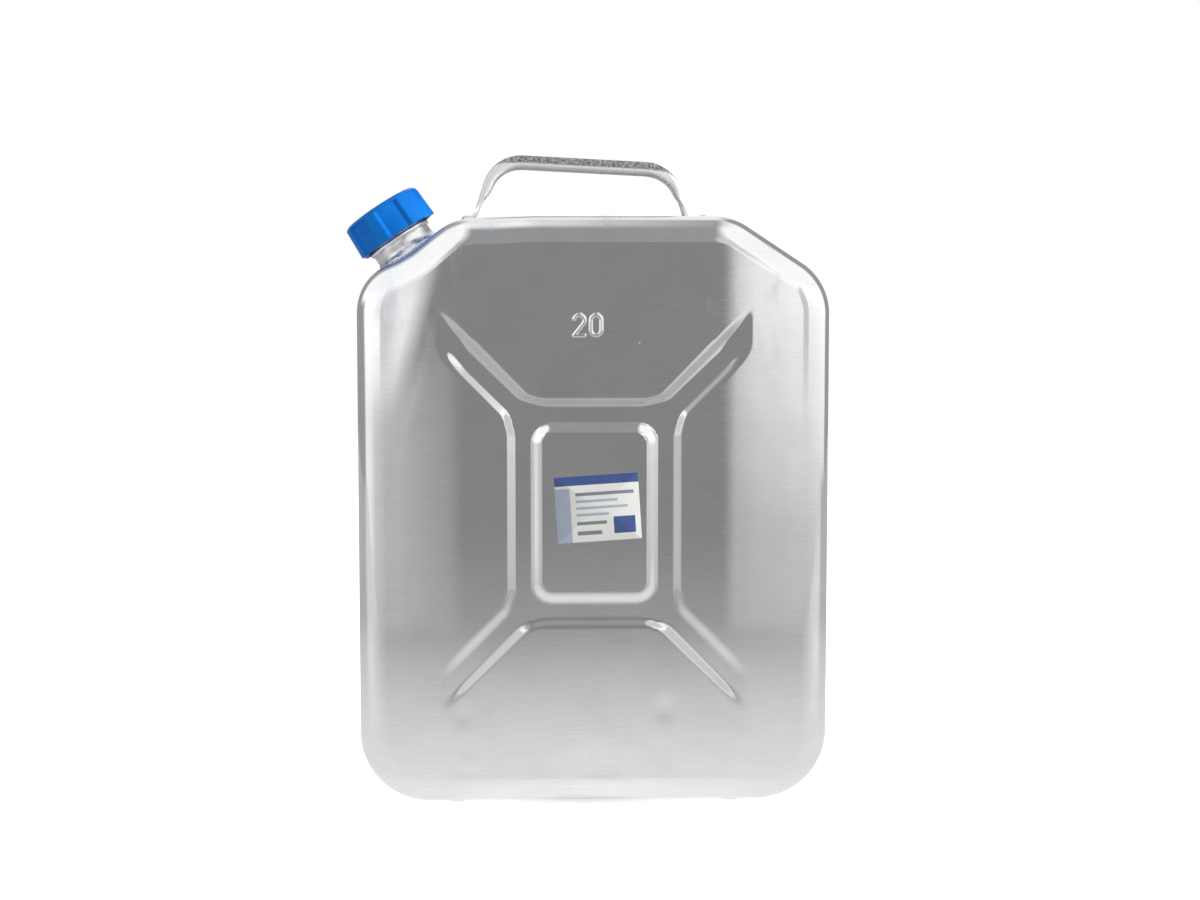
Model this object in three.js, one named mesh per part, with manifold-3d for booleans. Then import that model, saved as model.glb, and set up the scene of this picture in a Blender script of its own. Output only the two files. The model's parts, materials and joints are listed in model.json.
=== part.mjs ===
// Welded aluminium jerry can of the 20 litre class: millimetres, +Z up, the front broad side faces -Y.
import * as THREE from "three";
import { mergeVertices } from "three/addons/utils/BufferGeometryUtils.js";
import Module from "manifold-3d";

const wasm = await Module();
wasm.setup();

// Body shells
const bodyWidth = 350;
const bodyHeight = 437;
const bodyDepth = 150;
const sheetThickness = 1.5;
const shoulderRun = 73; // the sloping shoulder, measured along X
const shoulderDrop = 48; // and along Z
const shoulderRadius = 45;
const bottomRadius = 52;
const edgeRadius = 20; // between a broad side and the wall
const rootGap = 0.3; // between the two rims at the mid-plane

// Pressed X channel, measured between the middles of its slopes
const pressDepth = 5;
const pressSlope = 8; // width of a slope, seen from the front
const panelWidth = 85.5; // raised panel in the middle
const panelHeight = 126.5;
const panelRadius = 12;
const channelWidth = 18.4;
const armReach = 57; // from the ring corner to the middle of an arm's round end, along X and along Z
const armFillet = 14;
const armRound = 0.8; // rounding of an arm's end, as a part of half the channel's width

// Seam weld
const beadWidth = 6;
const beadHeight = 1.2;
const beadFlat = 1; // level top of the bead

// Feet
const footHeight = 3;
const footWidth = 16;
const footFlat = 10;
const footLength = 44;
const footRounding = 1.5;
const footSpacing = 207; // between the middles of the left and right feet
const footInset = 8; // from the mid-plane to the near end of a foot

// Filler neck, measured outwards from the shoulder along the neck's own axis
const neckRadius = 24;
const neckBore = 20.8;
const neckRise = 35.8;
const neckShift = -2.3; // along the slope from the shoulder's middle, negative is down
const collarRadius = 25.6;
const collarBottom = 11;
const collarHeight = 3.1;
const collarChamfer = 0.6;
const rimChamfer = 0.8;
const boreChamfer = 0.5;
const neckWeldWidth = 5.2;
const neckWeldHeight = 6;
const neckWeldProfile = [ // shares of the weld's width and height, from its foot to its upper end
  [0, 0], [1, 0], [0.94, 0.22], [0.66, 0.46], [0.38, 0.68], [0.24, 0.9], [0, 0.96], [0, 0],
];

// Cap and sealing disc
const capRadius = 33; // over the ribs
const ribHeight = 2.3;
const ribCount = 7;
const ribAngle = 22; // degrees
const ribTop = 0.6; // level share of a rib's angle, the rest is its two flanks
const ribExcess = 1; // by which a rib is drawn past the cap before it is trimmed to it
const ribTurn = -15; // degrees, the first rib from the front towards the handle
const capHeight = 27;
const capBore = 27;
const capTopThickness = 2.7;
const capRounding = 5;
const capDome = 1.2;
const gasketThickness = 2.5;

// Handle
const strapThickness = 2;
const strapWidth = 26;
const flangeHeight = 8.5;
const handleOffset = -8; // middle of the handle from the middle of the body
const handleFootSpan = 161; // between the roots of the legs
const gripOffset = -6; // middle of the grip from the middle of the body
const gripSpan = 139; // between the upper corners
const gripRise = 46; // middle of the grip above the body
const gripSlant = 7; // how much higher the left corner stands than the right one
const gripRadius = 30;
const legRadius = 4;
const handleFootLeft = 6.5;
const handleFootRight = 11.5;
const flangeTaper = 54; // length of bend and leg over which the flanges run out
const flangeEnd = 1.2; // depth of a flange where it has run out, less than the strap's thickness

// Handle welds
const dropCount = 5;
const dropLength = 8.4; // along X
const dropHeight = 3.6;
const dropLead = 1; // from the end of the foot to the middle of a drop
const dropSpread = 0.9; // reach of a drop along Y, as a share of the spacing

// Label
const labelWidth = 62;
const labelHeight = 49;
const labelThickness = 0.3;
const labelX = 2.5;
const labelZ = 4; // above the middle of the panel
const labelTilt = 3.7; // degrees, right side up

// Clearances
const weldGap = 0.3; // from a weld to what it joins
const seatGap = 0.3; // between pieces that rest on each other along the neck
const glueGap = 0.1;
const cutMargin = 5; // by which a cutting solid reaches past the cut piece
const cutDepth = 3 * cutMargin; // of a cut through the shoulder

// Fineness of the curves: degrees per step, or steps
const outlineStep = 9;
const detailStep = 15;
const edgeSteps = 5;
const beadSteps = 3;
const legSteps = 6;
const ribSteps = 4;
const fluteSteps = 6;
const turnedSteps = 48;
const fineTurnedSteps = 56;
const dropSteps = 16;

const rad = THREE.MathUtils.degToRad;

// Closed corner list, anticlockwise, moved outwards by d
function offsetCorners(corners, d) {
  const n = corners.length;
  return corners.map((p, i) => {
    const a = p.clone().sub(corners[(i + n - 1) % n]).normalize();
    const b = corners[(i + 1) % n].clone().sub(p).normalize();
    const na = new THREE.Vector2(a.y, -a.x);
    const nb = new THREE.Vector2(b.y, -b.x);
    return na.clone().add(nb).multiplyScalar(d / (1 + na.dot(nb))).add(p);
  });
}

// Points of one rounded corner between three corner points
function cornerArc(before, corner, after, radius, step) {
  if (!radius) return [corner.clone()];
  const a = corner.clone().sub(before).normalize();
  const b = after.clone().sub(corner).normalize();
  const turn = Math.atan2(a.cross(b), a.dot(b));
  const side = Math.sign(turn);
  const reach = radius * Math.tan(Math.abs(turn) / 2);
  const centre = new THREE.Vector2(-a.y, a.x).multiplyScalar(side * radius);
  centre.add(corner).addScaledVector(a, -reach);
  const first = new THREE.Vector2(a.y, -a.x).multiplyScalar(side * radius);
  const steps = Math.max(2, Math.ceil(Math.abs(turn) / rad(step)));
  const origin = new THREE.Vector2();
  const points = [];
  for (let i = 0; i <= steps; i++) {
    points.push(first.clone().rotateAround(origin, (turn * i) / steps).add(centre));
  }
  return points;
}

// Closed loop with rounded corners
function roundedLoop(corners, radii, step) {
  const n = corners.length;
  return corners.flatMap((p, i) =>
    cornerArc(corners[(i + n - 1) % n], p, corners[(i + 1) % n], radii[i], step),
  );
}

// Loop in X and Z drawn out along Y, its start at y = 0 and its end towards -Y
function drawnOut(loop, holes, length, bevel = {}) {
  const shape = new THREE.Shape(loop);
  shape.holes = holes.map((hole) => new THREE.Path(hole));
  const options = { depth: length, steps: 1, bevelEnabled: false, ...bevel };
  return new THREE.ExtrudeGeometry(shape, options).rotateX(Math.PI / 2);
}

// Profile of radius and height turned about +Z
function turned(profile, segments) {
  const points = profile.map(([r, s]) => new THREE.Vector2(r, s));
  return new THREE.LatheGeometry(points, segments).rotateX(Math.PI / 2);
}

function solid(geometry) {
  const plain = geometry.clone();
  plain.deleteAttribute("normal");
  plain.deleteAttribute("uv");
  const merged = mergeVertices(plain, 1e-4);
  const kept = [];
  const index = merged.index.array;
  for (let i = 0; i < index.length; i += 3) {
    const [a, b, c] = [index[i], index[i + 1], index[i + 2]];
    if (a !== b && b !== c && c !== a) kept.push(a, b, c);
  }
  const vertProperties = new Float32Array(merged.attributes.position.array);
  const triVerts = new Uint32Array(kept);
  return new wasm.Manifold(new wasm.Mesh({ numProp: 3, vertProperties, triVerts }));
}

const root = new THREE.Group();

function place(name, shape, look, parent = root) {
  const data = shape.getMesh();
  const geometry = new THREE.BufferGeometry();
  geometry.setAttribute("position", new THREE.BufferAttribute(data.vertProperties, 3));
  geometry.setIndex(new THREE.BufferAttribute(data.triVerts, 1));
  geometry.computeVertexNormals();
  const mesh = new THREE.Mesh(geometry, new THREE.MeshStandardMaterial(look));
  mesh.name = name;
  parent.add(mesh);
}

function box(x0, x1, y0, y1, z0, z1) {
  const geometry = new THREE.BoxGeometry(x1 - x0, y1 - y0, z1 - z0);
  return solid(geometry.translate((x0 + x1) / 2, (y0 + y1) / 2, (z0 + z1) / 2));
}

const sheetLook = { color: 0xb4b8bb, roughness: 0.32, metalness: 1 };
const weldLook = { color: 0xa6aaad, roughness: 0.45, metalness: 1 };
const turnedLook = { color: 0xbfc2c4, roughness: 0.25, metalness: 1 };
const strapLook = { color: 0xa3a7aa, roughness: 0.4, metalness: 1 };
const capLook = { color: 0x0862c8, roughness: 0.38, metalness: 0 };
const rubberLook = { color: 0x1d1f20, roughness: 0.8, metalness: 0 };
const paperLook = { color: 0xe9ebec, roughness: 0.6, metalness: 0 };

const bodyBottom = footHeight;
const bodyTop = bodyBottom + bodyHeight;
const bodyMiddle = bodyBottom + bodyHeight / 2;
const halfWidth = bodyWidth / 2;
const halfDepth = bodyDepth / 2;

// Outline of the body in X and Z, moved outwards by d
const outlineRadii = [
  bottomRadius, bottomRadius, shoulderRadius, shoulderRadius, shoulderRadius, shoulderRadius,
];
function outline(d) {
  const corners = [
    [-halfWidth, bodyBottom],
    [halfWidth, bodyBottom],
    [halfWidth, bodyTop - shoulderDrop],
    [halfWidth - shoulderRun, bodyTop],
    [-halfWidth + shoulderRun, bodyTop],
    [-halfWidth, bodyTop - shoulderDrop],
  ].map(([x, z]) => new THREE.Vector2(x, z));
  return roundedLoop(offsetCorners(corners, d), outlineRadii.map((r) => r + d), outlineStep);
}

// Block with the outline moved inwards by d, its broad sides rounded into the wall
function bodyBlock(d) {
  const straight = bodyDepth - 2 * edgeRadius;
  const round = edgeRadius - d;
  const bevel = {
    bevelEnabled: true,
    bevelThickness: round,
    bevelSize: round,
    bevelOffset: -round,
    bevelSegments: edgeSteps,
  };
  return solid(drawnOut(outline(-d), [], straight, bevel).translate(0, straight / 2, 0));
}

// Cutter of the pressed channel for the front, its widest section at y = 0 and its floor at +Y
function channelCutter() {
  const ringX = (panelWidth + channelWidth) / 2;
  const ringZ = (panelHeight + channelWidth) / 2;
  const half = channelWidth / 2;
  const near = half * Math.tan(Math.PI / 8);
  const across = half * Math.SQRT1_2;
  const endX = ringX + armReach;
  const endZ = ringZ + armReach;
  // one arm, its corners anticlockwise: inner corner, the two corners of the end, inner corner
  const cap = half * Math.SQRT1_2;
  const arm = [
    [ringX + half, ringZ - near],
    [endX + across + cap, endZ - across + cap],
    [endX - across + cap, endZ + across + cap],
    [ringX - near, ringZ + half],
  ];
  const radii = [armFillet, half * armRound, half * armRound, armFillet];
  const corners = [];
  for (const [sx, sz] of [[1, 1], [-1, 1], [-1, -1], [1, -1]]) {
    const points = arm.map(([x, z]) => new THREE.Vector2(sx * x, sz * z));
    corners.push(...(sx * sz > 0 ? points : points.reverse()));
  }
  for (const p of corners) p.y += bodyMiddle;
  const loop = roundedLoop(corners, [...radii, ...radii, ...radii, ...radii], detailStep);
  const panel = [[-1, -1], [1, -1], [1, 1], [-1, 1]].map(
    ([sx, sz]) => new THREE.Vector2((sx * panelWidth) / 2, bodyMiddle + (sz * panelHeight) / 2),
  );
  const hole = roundedLoop(panel, Array(4).fill(panelRadius), detailStep);
  const bevel = {
    bevelEnabled: true,
    bevelThickness: pressDepth,
    bevelSize: pressSlope,
    bevelOffset: -pressSlope / 2,
    bevelSegments: 1,
  };
  return drawnOut(loop, [hole], cutMargin, bevel);
}

// Neck frame: origin on the shoulder, +Z outwards along the neck, +X up the slope
const neckFrame = new THREE.Group();
neckFrame.position.set(-halfWidth + shoulderRun / 2, 0, bodyTop - shoulderDrop / 2);
neckFrame.rotation.y = -Math.atan2(shoulderDrop, shoulderRun);
neckFrame.translateX(neckShift);
neckFrame.updateMatrix();
root.add(neckFrame);

function onNeckAxis(radius, low, high) {
  const rod = turned([[0, low], [radius, low], [radius, high], [0, high]], turnedSteps);
  return solid(rod.applyMatrix4(neckFrame.matrix));
}

// Shells
const front = channelCutter();
const outer = front.clone().translate(0, -halfDepth, 0);
const inner = front.clone().translate(0, -halfDepth + sheetThickness, 0);
const cavity = bodyBlock(sheetThickness)
  .subtract(solid(inner))
  .subtract(solid(inner.clone().rotateZ(Math.PI)));
const wholeShell = bodyBlock(0)
  .subtract(solid(outer))
  .subtract(solid(outer.clone().rotateZ(Math.PI)))
  .subtract(cavity)
  .subtract(onNeckAxis(neckBore, -cutDepth, cutMargin));
const farX = bodyWidth;
const farY = bodyDepth;
const farZ = 2 * bodyTop;
place("front_shell", wholeShell.intersect(box(-farX, farX, -farY, -rootGap / 2, -farZ, farZ)), sheetLook);
place("rear_shell", wholeShell.intersect(box(-farX, farX, rootGap / 2, farY, -farZ, farZ)), sheetLook);

// Handle, drawn as its outer line in X and Z from the left foot to the right foot
const leftRoot = handleOffset - handleFootSpan / 2;
const rightRoot = handleOffset + handleFootSpan / 2;
const footTop = bodyTop + strapThickness;
const handleCorners = [
  [leftRoot - handleFootLeft, footTop],
  [leftRoot, footTop],
  [gripOffset - gripSpan / 2, bodyTop + gripRise + gripSlant / 2],
  [gripOffset + gripSpan / 2, bodyTop + gripRise - gripSlant / 2],
  [rightRoot, footTop],
  [rightRoot + handleFootRight, footTop],
].map(([x, z]) => new THREE.Vector2(x, z));
const handleRadii = [0, legRadius, gripRadius, gripRadius, legRadius, 0];
const handleArcs = handleCorners.map((p, i) =>
  handleRadii[i]
    ? cornerArc(handleCorners[i - 1], p, handleCorners[i + 1], handleRadii[i], detailStep)
    : [p],
);

// Points added along a straight leg, so that a flange can run out there
function between(a, b, count) {
  return Array.from({ length: count - 1 }, (unused, i) => a.clone().lerp(b, (i + 1) / count));
}
const [leftTip, leftAnkle, leftBend, rightBend, rightAnkle, rightTip] = handleArcs;
const leftLeg = between(leftAnkle.at(-1), leftBend[0], legSteps);
const rightLeg = between(rightBend.at(-1), rightAnkle[0], legSteps);
const outerLine = [
  ...leftTip, ...leftAnkle, ...leftLeg, ...leftBend,
  ...rightBend, ...rightLeg, ...rightAnkle, ...rightTip,
];

// Line moved to its inner side: a positive depth lies under the strap
function innerPoint(i, depth) {
  const p = outerLine[i];
  const a = p.clone().sub(outerLine[Math.max(0, i - 1)]).normalize();
  const b = outerLine[Math.min(outerLine.length - 1, i + 1)].clone().sub(p).normalize();
  const na = a.lengthSq() ? new THREE.Vector2(a.y, -a.x) : new THREE.Vector2(b.y, -b.x);
  const nb = b.lengthSq() ? new THREE.Vector2(b.y, -b.x) : na;
  return na.clone().add(nb).multiplyScalar(depth / (1 + na.dot(nb))).add(p);
}
const strapLoop = [
  ...outerLine,
  ...outerLine.map((p, i) => innerPoint(i, strapThickness)).reverse(),
];
let travelled = 0;
const runLength = outerLine.map((p, i) => (travelled += i ? p.distanceTo(outerLine[i - 1]) : 0));
const gripStart = runLength[outerLine.indexOf(leftBend.at(-1))];
const gripEnd = runLength[outerLine.indexOf(rightBend[0])];
// Full height along the grip, then running out along the bend and the leg
function flangeDepth(i) {
  const away = Math.max(0, gripStart - runLength[i], runLength[i] - gripEnd);
  return flangeEnd + (flangeHeight - flangeEnd) * Math.max(0, 1 - away / flangeTaper);
}
const flangeFrom = outerLine.indexOf(leftLeg[0]);
const flangeTo = outerLine.indexOf(rightLeg.at(-1));
const flangeRange = [...outerLine.keys()].filter((i) => i >= flangeFrom && i <= flangeTo);
const flangeLoop = [
  ...flangeRange.map((i) => outerLine[i]),
  ...flangeRange.map((i) => innerPoint(i, flangeDepth(i))).reverse(),
];
const strap = solid(drawnOut(strapLoop.reverse(), [], strapWidth).translate(0, strapWidth / 2, 0));
const flange = drawnOut(flangeLoop.reverse(), [], strapThickness);
const rearFlange = solid(flange.clone().translate(0, strapWidth / 2, 0));
const frontFlange = solid(flange.clone().translate(0, strapThickness - strapWidth / 2, 0));
place("handle", strap.add(rearFlange).add(frontFlange), strapLook);

// End weld of a handle foot: a row of drops over the foot's end, shaped to the body and the foot
const bodyMould = solid(
  drawnOut(outline(weldGap), [], bodyDepth).translate(0, halfDepth, 0),
);
function footWeld(endX, side, footLength) {
  const pitch = strapWidth / dropCount;
  let drops = null;
  for (let i = 0; i < dropCount; i++) {
    const drop = new THREE.SphereGeometry(1, dropSteps, 10).rotateX(Math.PI / 2);
    drop.scale(dropLength / 2, pitch * dropSpread, dropHeight);
    drop.translate(endX + side * dropLead, (i - (dropCount - 1) / 2) * pitch, bodyTop + weldGap);
    drops = drops ? drops.add(solid(drop)) : solid(drop);
  }
  const reach = -side * (footLength + cutMargin);
  const tab = [endX + side * weldGap, endX + reach].sort((a, b) => a - b);
  const foot = box(tab[0], tab[1], -strapWidth, strapWidth, -farZ, footTop + weldGap);
  return drops.subtract(bodyMould).subtract(foot);
}
const leftEnd = leftRoot - handleFootLeft;
const rightEnd = rightRoot + handleFootRight;
place("handle_weld_left", footWeld(leftEnd, -1, handleFootLeft), weldLook);
place("handle_weld_right", footWeld(rightEnd, 1, handleFootRight), weldLook);

// Seam weld round the mid-plane, left out under the neck weld and the handle feet
const beadBevel = {
  bevelEnabled: true,
  bevelThickness: (beadWidth - beadFlat) / 2,
  bevelSize: beadHeight,
  bevelOffset: -beadHeight,
  bevelSegments: beadSteps,
};
const beadBlock = drawnOut(outline(weldGap + beadHeight), [], beadFlat, beadBevel);
beadBlock.translate(0, beadFlat / 2, 0);
const neckWeldRadius = neckRadius + weldGap + neckWeldWidth;
const bead = solid(beadBlock)
  .subtract(bodyMould)
  .subtract(onNeckAxis(neckWeldRadius + weldGap, -cutDepth, cutDepth));
const weldReach = dropLength / 2 + dropLead + weldGap;
const leftFootZone = box(
  -halfWidth + shoulderRun / 2, leftRoot + legRadius + strapThickness,
  -farY, farY, bodyTop - shoulderDrop / 2, farZ,
);
const rightFootZone = box(
  rightRoot - legRadius - strapThickness, rightEnd + weldReach,
  -farY, farY, bodyTop - shoulderDrop / 2, farZ,
);
const run = bead.subtract(leftFootZone).subtract(rightFootZone);
const topZone = box(leftRoot, rightRoot, -farY, farY, bodyTop - cutMargin, farZ);
place("seam_weld_top", run.intersect(topZone), weldLook);
place("seam_weld", run.subtract(topZone), weldLook);

// Filler neck and its weld
const collarTop = collarBottom + collarHeight;
const neck = turned([
  [neckBore, seatGap],
  [neckRadius, seatGap],
  [neckRadius, collarBottom],
  [collarRadius, collarBottom + collarChamfer],
  [collarRadius, collarTop - collarChamfer],
  [neckRadius, collarTop],
  [neckRadius, neckRise - rimChamfer],
  [neckRadius - rimChamfer, neckRise],
  [neckBore + boreChamfer, neckRise],
  [neckBore, neckRise - boreChamfer],
  [neckBore, seatGap],
], fineTurnedSteps);
place("filler_neck", solid(neck), turnedLook, neckFrame);
const weldFoot = neckRadius + weldGap;
const neckWeldLoop = neckWeldProfile.map(([width, height]) => [
  weldFoot + width * neckWeldWidth,
  weldGap + height * neckWeldHeight,
]);
place("neck_weld", solid(turned(neckWeldLoop, turnedSteps)), weldLook, neckFrame);

// Sealing disc between the rim of the neck and the cap
const gasketBottom = neckRise + seatGap;
const gasketTop = gasketBottom + gasketThickness;
const gasketRadius = capBore - seatGap;
const gasket = turned([
  [0, gasketBottom],
  [gasketRadius, gasketBottom],
  [gasketRadius, gasketTop],
  [0, gasketTop],
], turnedSteps);
place("cap_gasket", solid(gasket), rubberLook, neckFrame);

// Cap: a domed turned blank, cut to a star of ribs, hollowed from below
const capCeiling = gasketTop + seatGap;
const capTop = capCeiling + capTopThickness;
const capBottom = capTop - capHeight;
const blank = [[0, capBottom], [capRadius, capBottom]];
const roundSteps = Math.ceil(90 / detailStep);
for (let i = 0; i <= roundSteps; i++) {
  const a = rad((90 * i) / roundSteps);
  const r = capRadius - capRounding * (1 - Math.cos(a));
  blank.push([r, capTop - capDome - capRounding * (1 - Math.sin(a))]);
}
// one more ring on the dome, whose drop grows with the square of the radius
const domeRing = 0.6;
blank.push([(capRadius - capRounding) * domeRing, capTop - capDome * domeRing ** 2], [0, capTop]);
const star = new THREE.Shape();
const fluteRadius = capRadius - ribHeight;
for (let i = 0; i < ribCount; i++) {
  const middle = rad(ribTurn - 90) + (2 * Math.PI * i) / ribCount;
  const half = rad(ribAngle / 2);
  const next = middle + (2 * Math.PI) / ribCount - half;
  const top = ribTop * half;
  for (let k = 0; k <= ribSteps; k++) {
    const a = middle - top + (2 * top * k) / ribSteps;
    const r = capRadius + ribExcess;
    const p = [r * Math.cos(a), r * Math.sin(a)];
    if (i + k) star.lineTo(...p);
    else star.moveTo(...p);
  }
  for (let k = 0; k <= fluteSteps; k++) {
    const a = middle + half + ((next - middle - half) * k) / fluteSteps;
    star.lineTo(fluteRadius * Math.cos(a), fluteRadius * Math.sin(a));
  }
}
const starBlock = new THREE.ExtrudeGeometry(star, { depth: 2 * capHeight, bevelEnabled: false });
starBlock.translate(0, 0, capTop - 1.5 * capHeight);
const hollow = turned([
  [0, capBottom - cutMargin],
  [capBore, capBottom - cutMargin],
  [capBore, capCeiling],
  [0, capCeiling],
], turnedSteps);
const cap = solid(turned(blank, fineTurnedSteps)).intersect(solid(starBlock)).subtract(solid(hollow));
place("cap", cap, capLook, neckFrame);

// Feet
const footCorners = [
  [-footFlat / 2, 0],
  [footFlat / 2, 0],
  [footWidth / 2, footHeight],
  [-footWidth / 2, footHeight],
].map(([x, z]) => new THREE.Vector2(x, z));
const footLoop = roundedLoop(footCorners, [footRounding, footRounding, 0, 0], detailStep);
for (const [endName, nearY] of [["front", -footInset], ["rear", footInset + footLength]]) {
  for (const [sideName, side] of [["left", -1], ["right", 1]]) {
    const foot = drawnOut(footLoop, [], footLength).translate((side * footSpacing) / 2, nearY, 0);
    place(`foot_${endName}_${sideName}`, solid(foot), sheetLook);
  }
}

// Label on the raised front panel
const label = new THREE.BoxGeometry(labelWidth, labelThickness, labelHeight);
label.rotateY(rad(-labelTilt));
label.translate(labelX, -halfDepth - glueGap - labelThickness / 2, bodyMiddle + labelZ);
place("label", solid(label), paperLook);

// The frame's origin is the bottom centre of the bounding box
root.updateMatrixWorld(true);
const bounds = new THREE.Box3().setFromObject(root, true);
root.children.forEach((child) => {
  child.position.x -= (bounds.min.x + bounds.max.x) / 2;
  child.position.y -= (bounds.min.y + bounds.max.y) / 2;
  child.position.z -= bounds.min.z;
});

export default root;
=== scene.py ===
import json
import math
import bpy
import mathutils
import numpy as np
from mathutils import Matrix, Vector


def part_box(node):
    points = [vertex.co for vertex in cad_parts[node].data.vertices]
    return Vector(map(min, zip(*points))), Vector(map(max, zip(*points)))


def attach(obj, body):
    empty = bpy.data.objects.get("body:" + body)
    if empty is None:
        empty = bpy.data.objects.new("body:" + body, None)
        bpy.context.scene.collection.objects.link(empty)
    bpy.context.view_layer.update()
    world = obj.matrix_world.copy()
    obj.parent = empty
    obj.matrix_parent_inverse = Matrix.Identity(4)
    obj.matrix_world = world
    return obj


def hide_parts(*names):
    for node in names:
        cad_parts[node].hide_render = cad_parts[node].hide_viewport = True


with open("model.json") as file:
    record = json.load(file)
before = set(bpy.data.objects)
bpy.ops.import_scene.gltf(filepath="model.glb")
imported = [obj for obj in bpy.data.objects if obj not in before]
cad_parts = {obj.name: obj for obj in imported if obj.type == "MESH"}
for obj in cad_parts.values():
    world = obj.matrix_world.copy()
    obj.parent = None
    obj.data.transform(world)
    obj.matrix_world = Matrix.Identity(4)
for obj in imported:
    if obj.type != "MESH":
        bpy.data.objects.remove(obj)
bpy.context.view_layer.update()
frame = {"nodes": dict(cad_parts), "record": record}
print("frame loaded:", len(frame["nodes"]), "nodes")

scene = bpy.context.scene
scene.view_settings.view_transform = "Standard"


# Shapes are worked out in millimetres; addPiece turns them into metres.
def boxMm(node):  # lowest and highest corner of a CAD node
    low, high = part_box(node)
    return np.array(low) * 1000, np.array(high) * 1000


frontLow, frontHigh = boxMm("front_shell")
rearLow, rearHigh = boxMm("rear_shell")
centreX = (frontLow[0] + frontHigh[0]) / 2
midY = (frontHigh[1] + rearLow[1]) / 2
bodyBottom, bodyTop = frontLow[2], frontHigh[2]
bodyMiddle = (bodyBottom + bodyTop) / 2
halfWidth = (frontHigh[0] - frontLow[0]) / 2

capHinge = next(j for j in frame["record"]["behaviour"]["joints"] if j["name"] == "cap_turn")
neckFoot = np.array(capHinge["pos_m"]) * 1000
neckAxis = np.array(capHinge["axis"]) / np.linalg.norm(capHinge["axis"])
slopeUp = np.array([neckAxis[2], 0, -neckAxis[0]])
rearward = np.array([0.0, 1.0, 0.0])


# Helpers for arrays and meshes
def smooth(t):  # 3t^2 - 2t^3 between 0 and 1
    t = np.clip(t, 0, 1)
    return t * t * (3 - 2 * t)


def waves(p, seed, octaves):  # sine waves in random directions, each octave twice as fine and half as high
    draw = np.random.default_rng(seed)
    total = np.zeros(p.shape[:-1])
    for octave in range(octaves):
        for _ in range(5):
            direction = draw.normal(size=p.shape[-1])
            direction *= 2.0 ** octave / np.linalg.norm(direction)
            total += np.sin(p @ direction + draw.uniform(0, 2 * np.pi)) / 2.0 ** octave
    return total / 5


def gridQuads(rows, columns, aroundRows=False, aroundColumns=False):  # quads between neighbours of a grid
    i = np.arange(rows if aroundRows else rows - 1)[:, None]
    j = np.arange(columns if aroundColumns else columns - 1)[None, :]
    nextI, nextJ = (i + 1) % rows, (j + 1) % columns
    corners = [i * columns + j, i * columns + nextJ, nextI * columns + nextJ, nextI * columns + j]
    return np.stack(corners, -1).reshape(-1, 4)


def fan(ring, middle):  # triangles from a ring of points to one middle point
    return np.stack([ring, np.roll(ring, -1), np.full(len(ring), middle)], -1)


def solidRows(rows):  # closed rows one after another, both ends closed by a fan to their mean point
    count, around = rows.shape[:2]
    points = np.concatenate([rows.reshape(-1, 3), rows[:1].mean(1), rows[-1:].mean(1)])
    quads = gridQuads(count, around, aroundColumns=True)
    ends = [fan(np.arange(around)[::-1], count * around),
            fan((count - 1) * around + np.arange(around), count * around + 1)]
    return points, quads, np.concatenate(ends)


def signedVolume(points, triangles):  # sum of the tetrahedra from the origin to each triangle
    a, b, c = (points[triangles[:, k]] for k in range(3))
    return np.einsum("ij,ij->", a, np.cross(b, c)) / 6


noTriangles = np.zeros((0, 3), int)


def addPiece(name, shape, body, nodes, material, uv=None, sharp=None, masks=None):
    points, quads, triangles = shape
    allTriangles = np.concatenate([quads[:, [0, 1, 2]], quads[:, [0, 2, 3]], triangles])
    if signedVolume(points - points.mean(0), allTriangles) < 0:  # faces point outwards
        quads, triangles = quads[:, ::-1], triangles[:, ::-1]
    corners = np.concatenate([quads.ravel(), triangles.ravel()]).astype(np.int32)
    starts = np.concatenate([np.arange(len(quads)) * 4, quads.size + np.arange(len(triangles)) * 3])
    mesh = bpy.data.meshes.new(name)
    mesh.vertices.add(len(points))
    mesh.vertices.foreach_set("co", (points * 0.001).astype(np.float32).ravel())
    mesh.loops.add(len(corners))
    mesh.loops.foreach_set("vertex_index", corners)
    mesh.polygons.add(len(starts))
    mesh.polygons.foreach_set("loop_start", starts.astype(np.int32))
    mesh.update(calc_edges=True)
    if uv is not None:
        layer = mesh.uv_layers.new(name="blank")
        layer.data.foreach_set("uv", (uv * 0.001)[corners].astype(np.float32).ravel())
    for mask, values in (masks or {}).items():
        mesh.attributes.new(mask, "FLOAT", "POINT").data.foreach_set("value", values.astype(np.float32))
    mesh.shade_smooth()
    if sharp:
        mesh.set_sharp_from_angle(angle=math.radians(sharp))
    mesh.materials.append(material)
    piece = bpy.data.objects.new(name, mesh)
    scene.collection.objects.link(piece)
    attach(piece, body)
    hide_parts(*nodes)
    print(name, len(allTriangles), "triangles")
    return piece


def roundPath(corners, radii):  # straight runs joined by arcs: start, heading, length and curvature of each
    corners = np.array(corners, float)
    steps = np.diff(corners, axis=0)
    headings = np.arctan2(steps[:, 1], steps[:, 0])
    turns = (np.diff(headings) + np.pi) % (2 * np.pi) - np.pi
    reach = np.array(radii) * np.tan(np.abs(turns) / 2)
    before, after = np.append(0, reach), np.append(reach, 0)
    runs = []
    for k, heading in enumerate(headings):
        along = np.array([math.cos(heading), math.sin(heading)])
        runs.append((corners[k] + along * before[k], heading,
                     np.linalg.norm(steps[k]) - before[k] - after[k], 0.0))
        if k < len(turns):
            runs.append((corners[k + 1] - along * reach[k], heading,
                         radii[k] * abs(turns[k]), np.sign(turns[k]) / radii[k]))
    return runs


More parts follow.
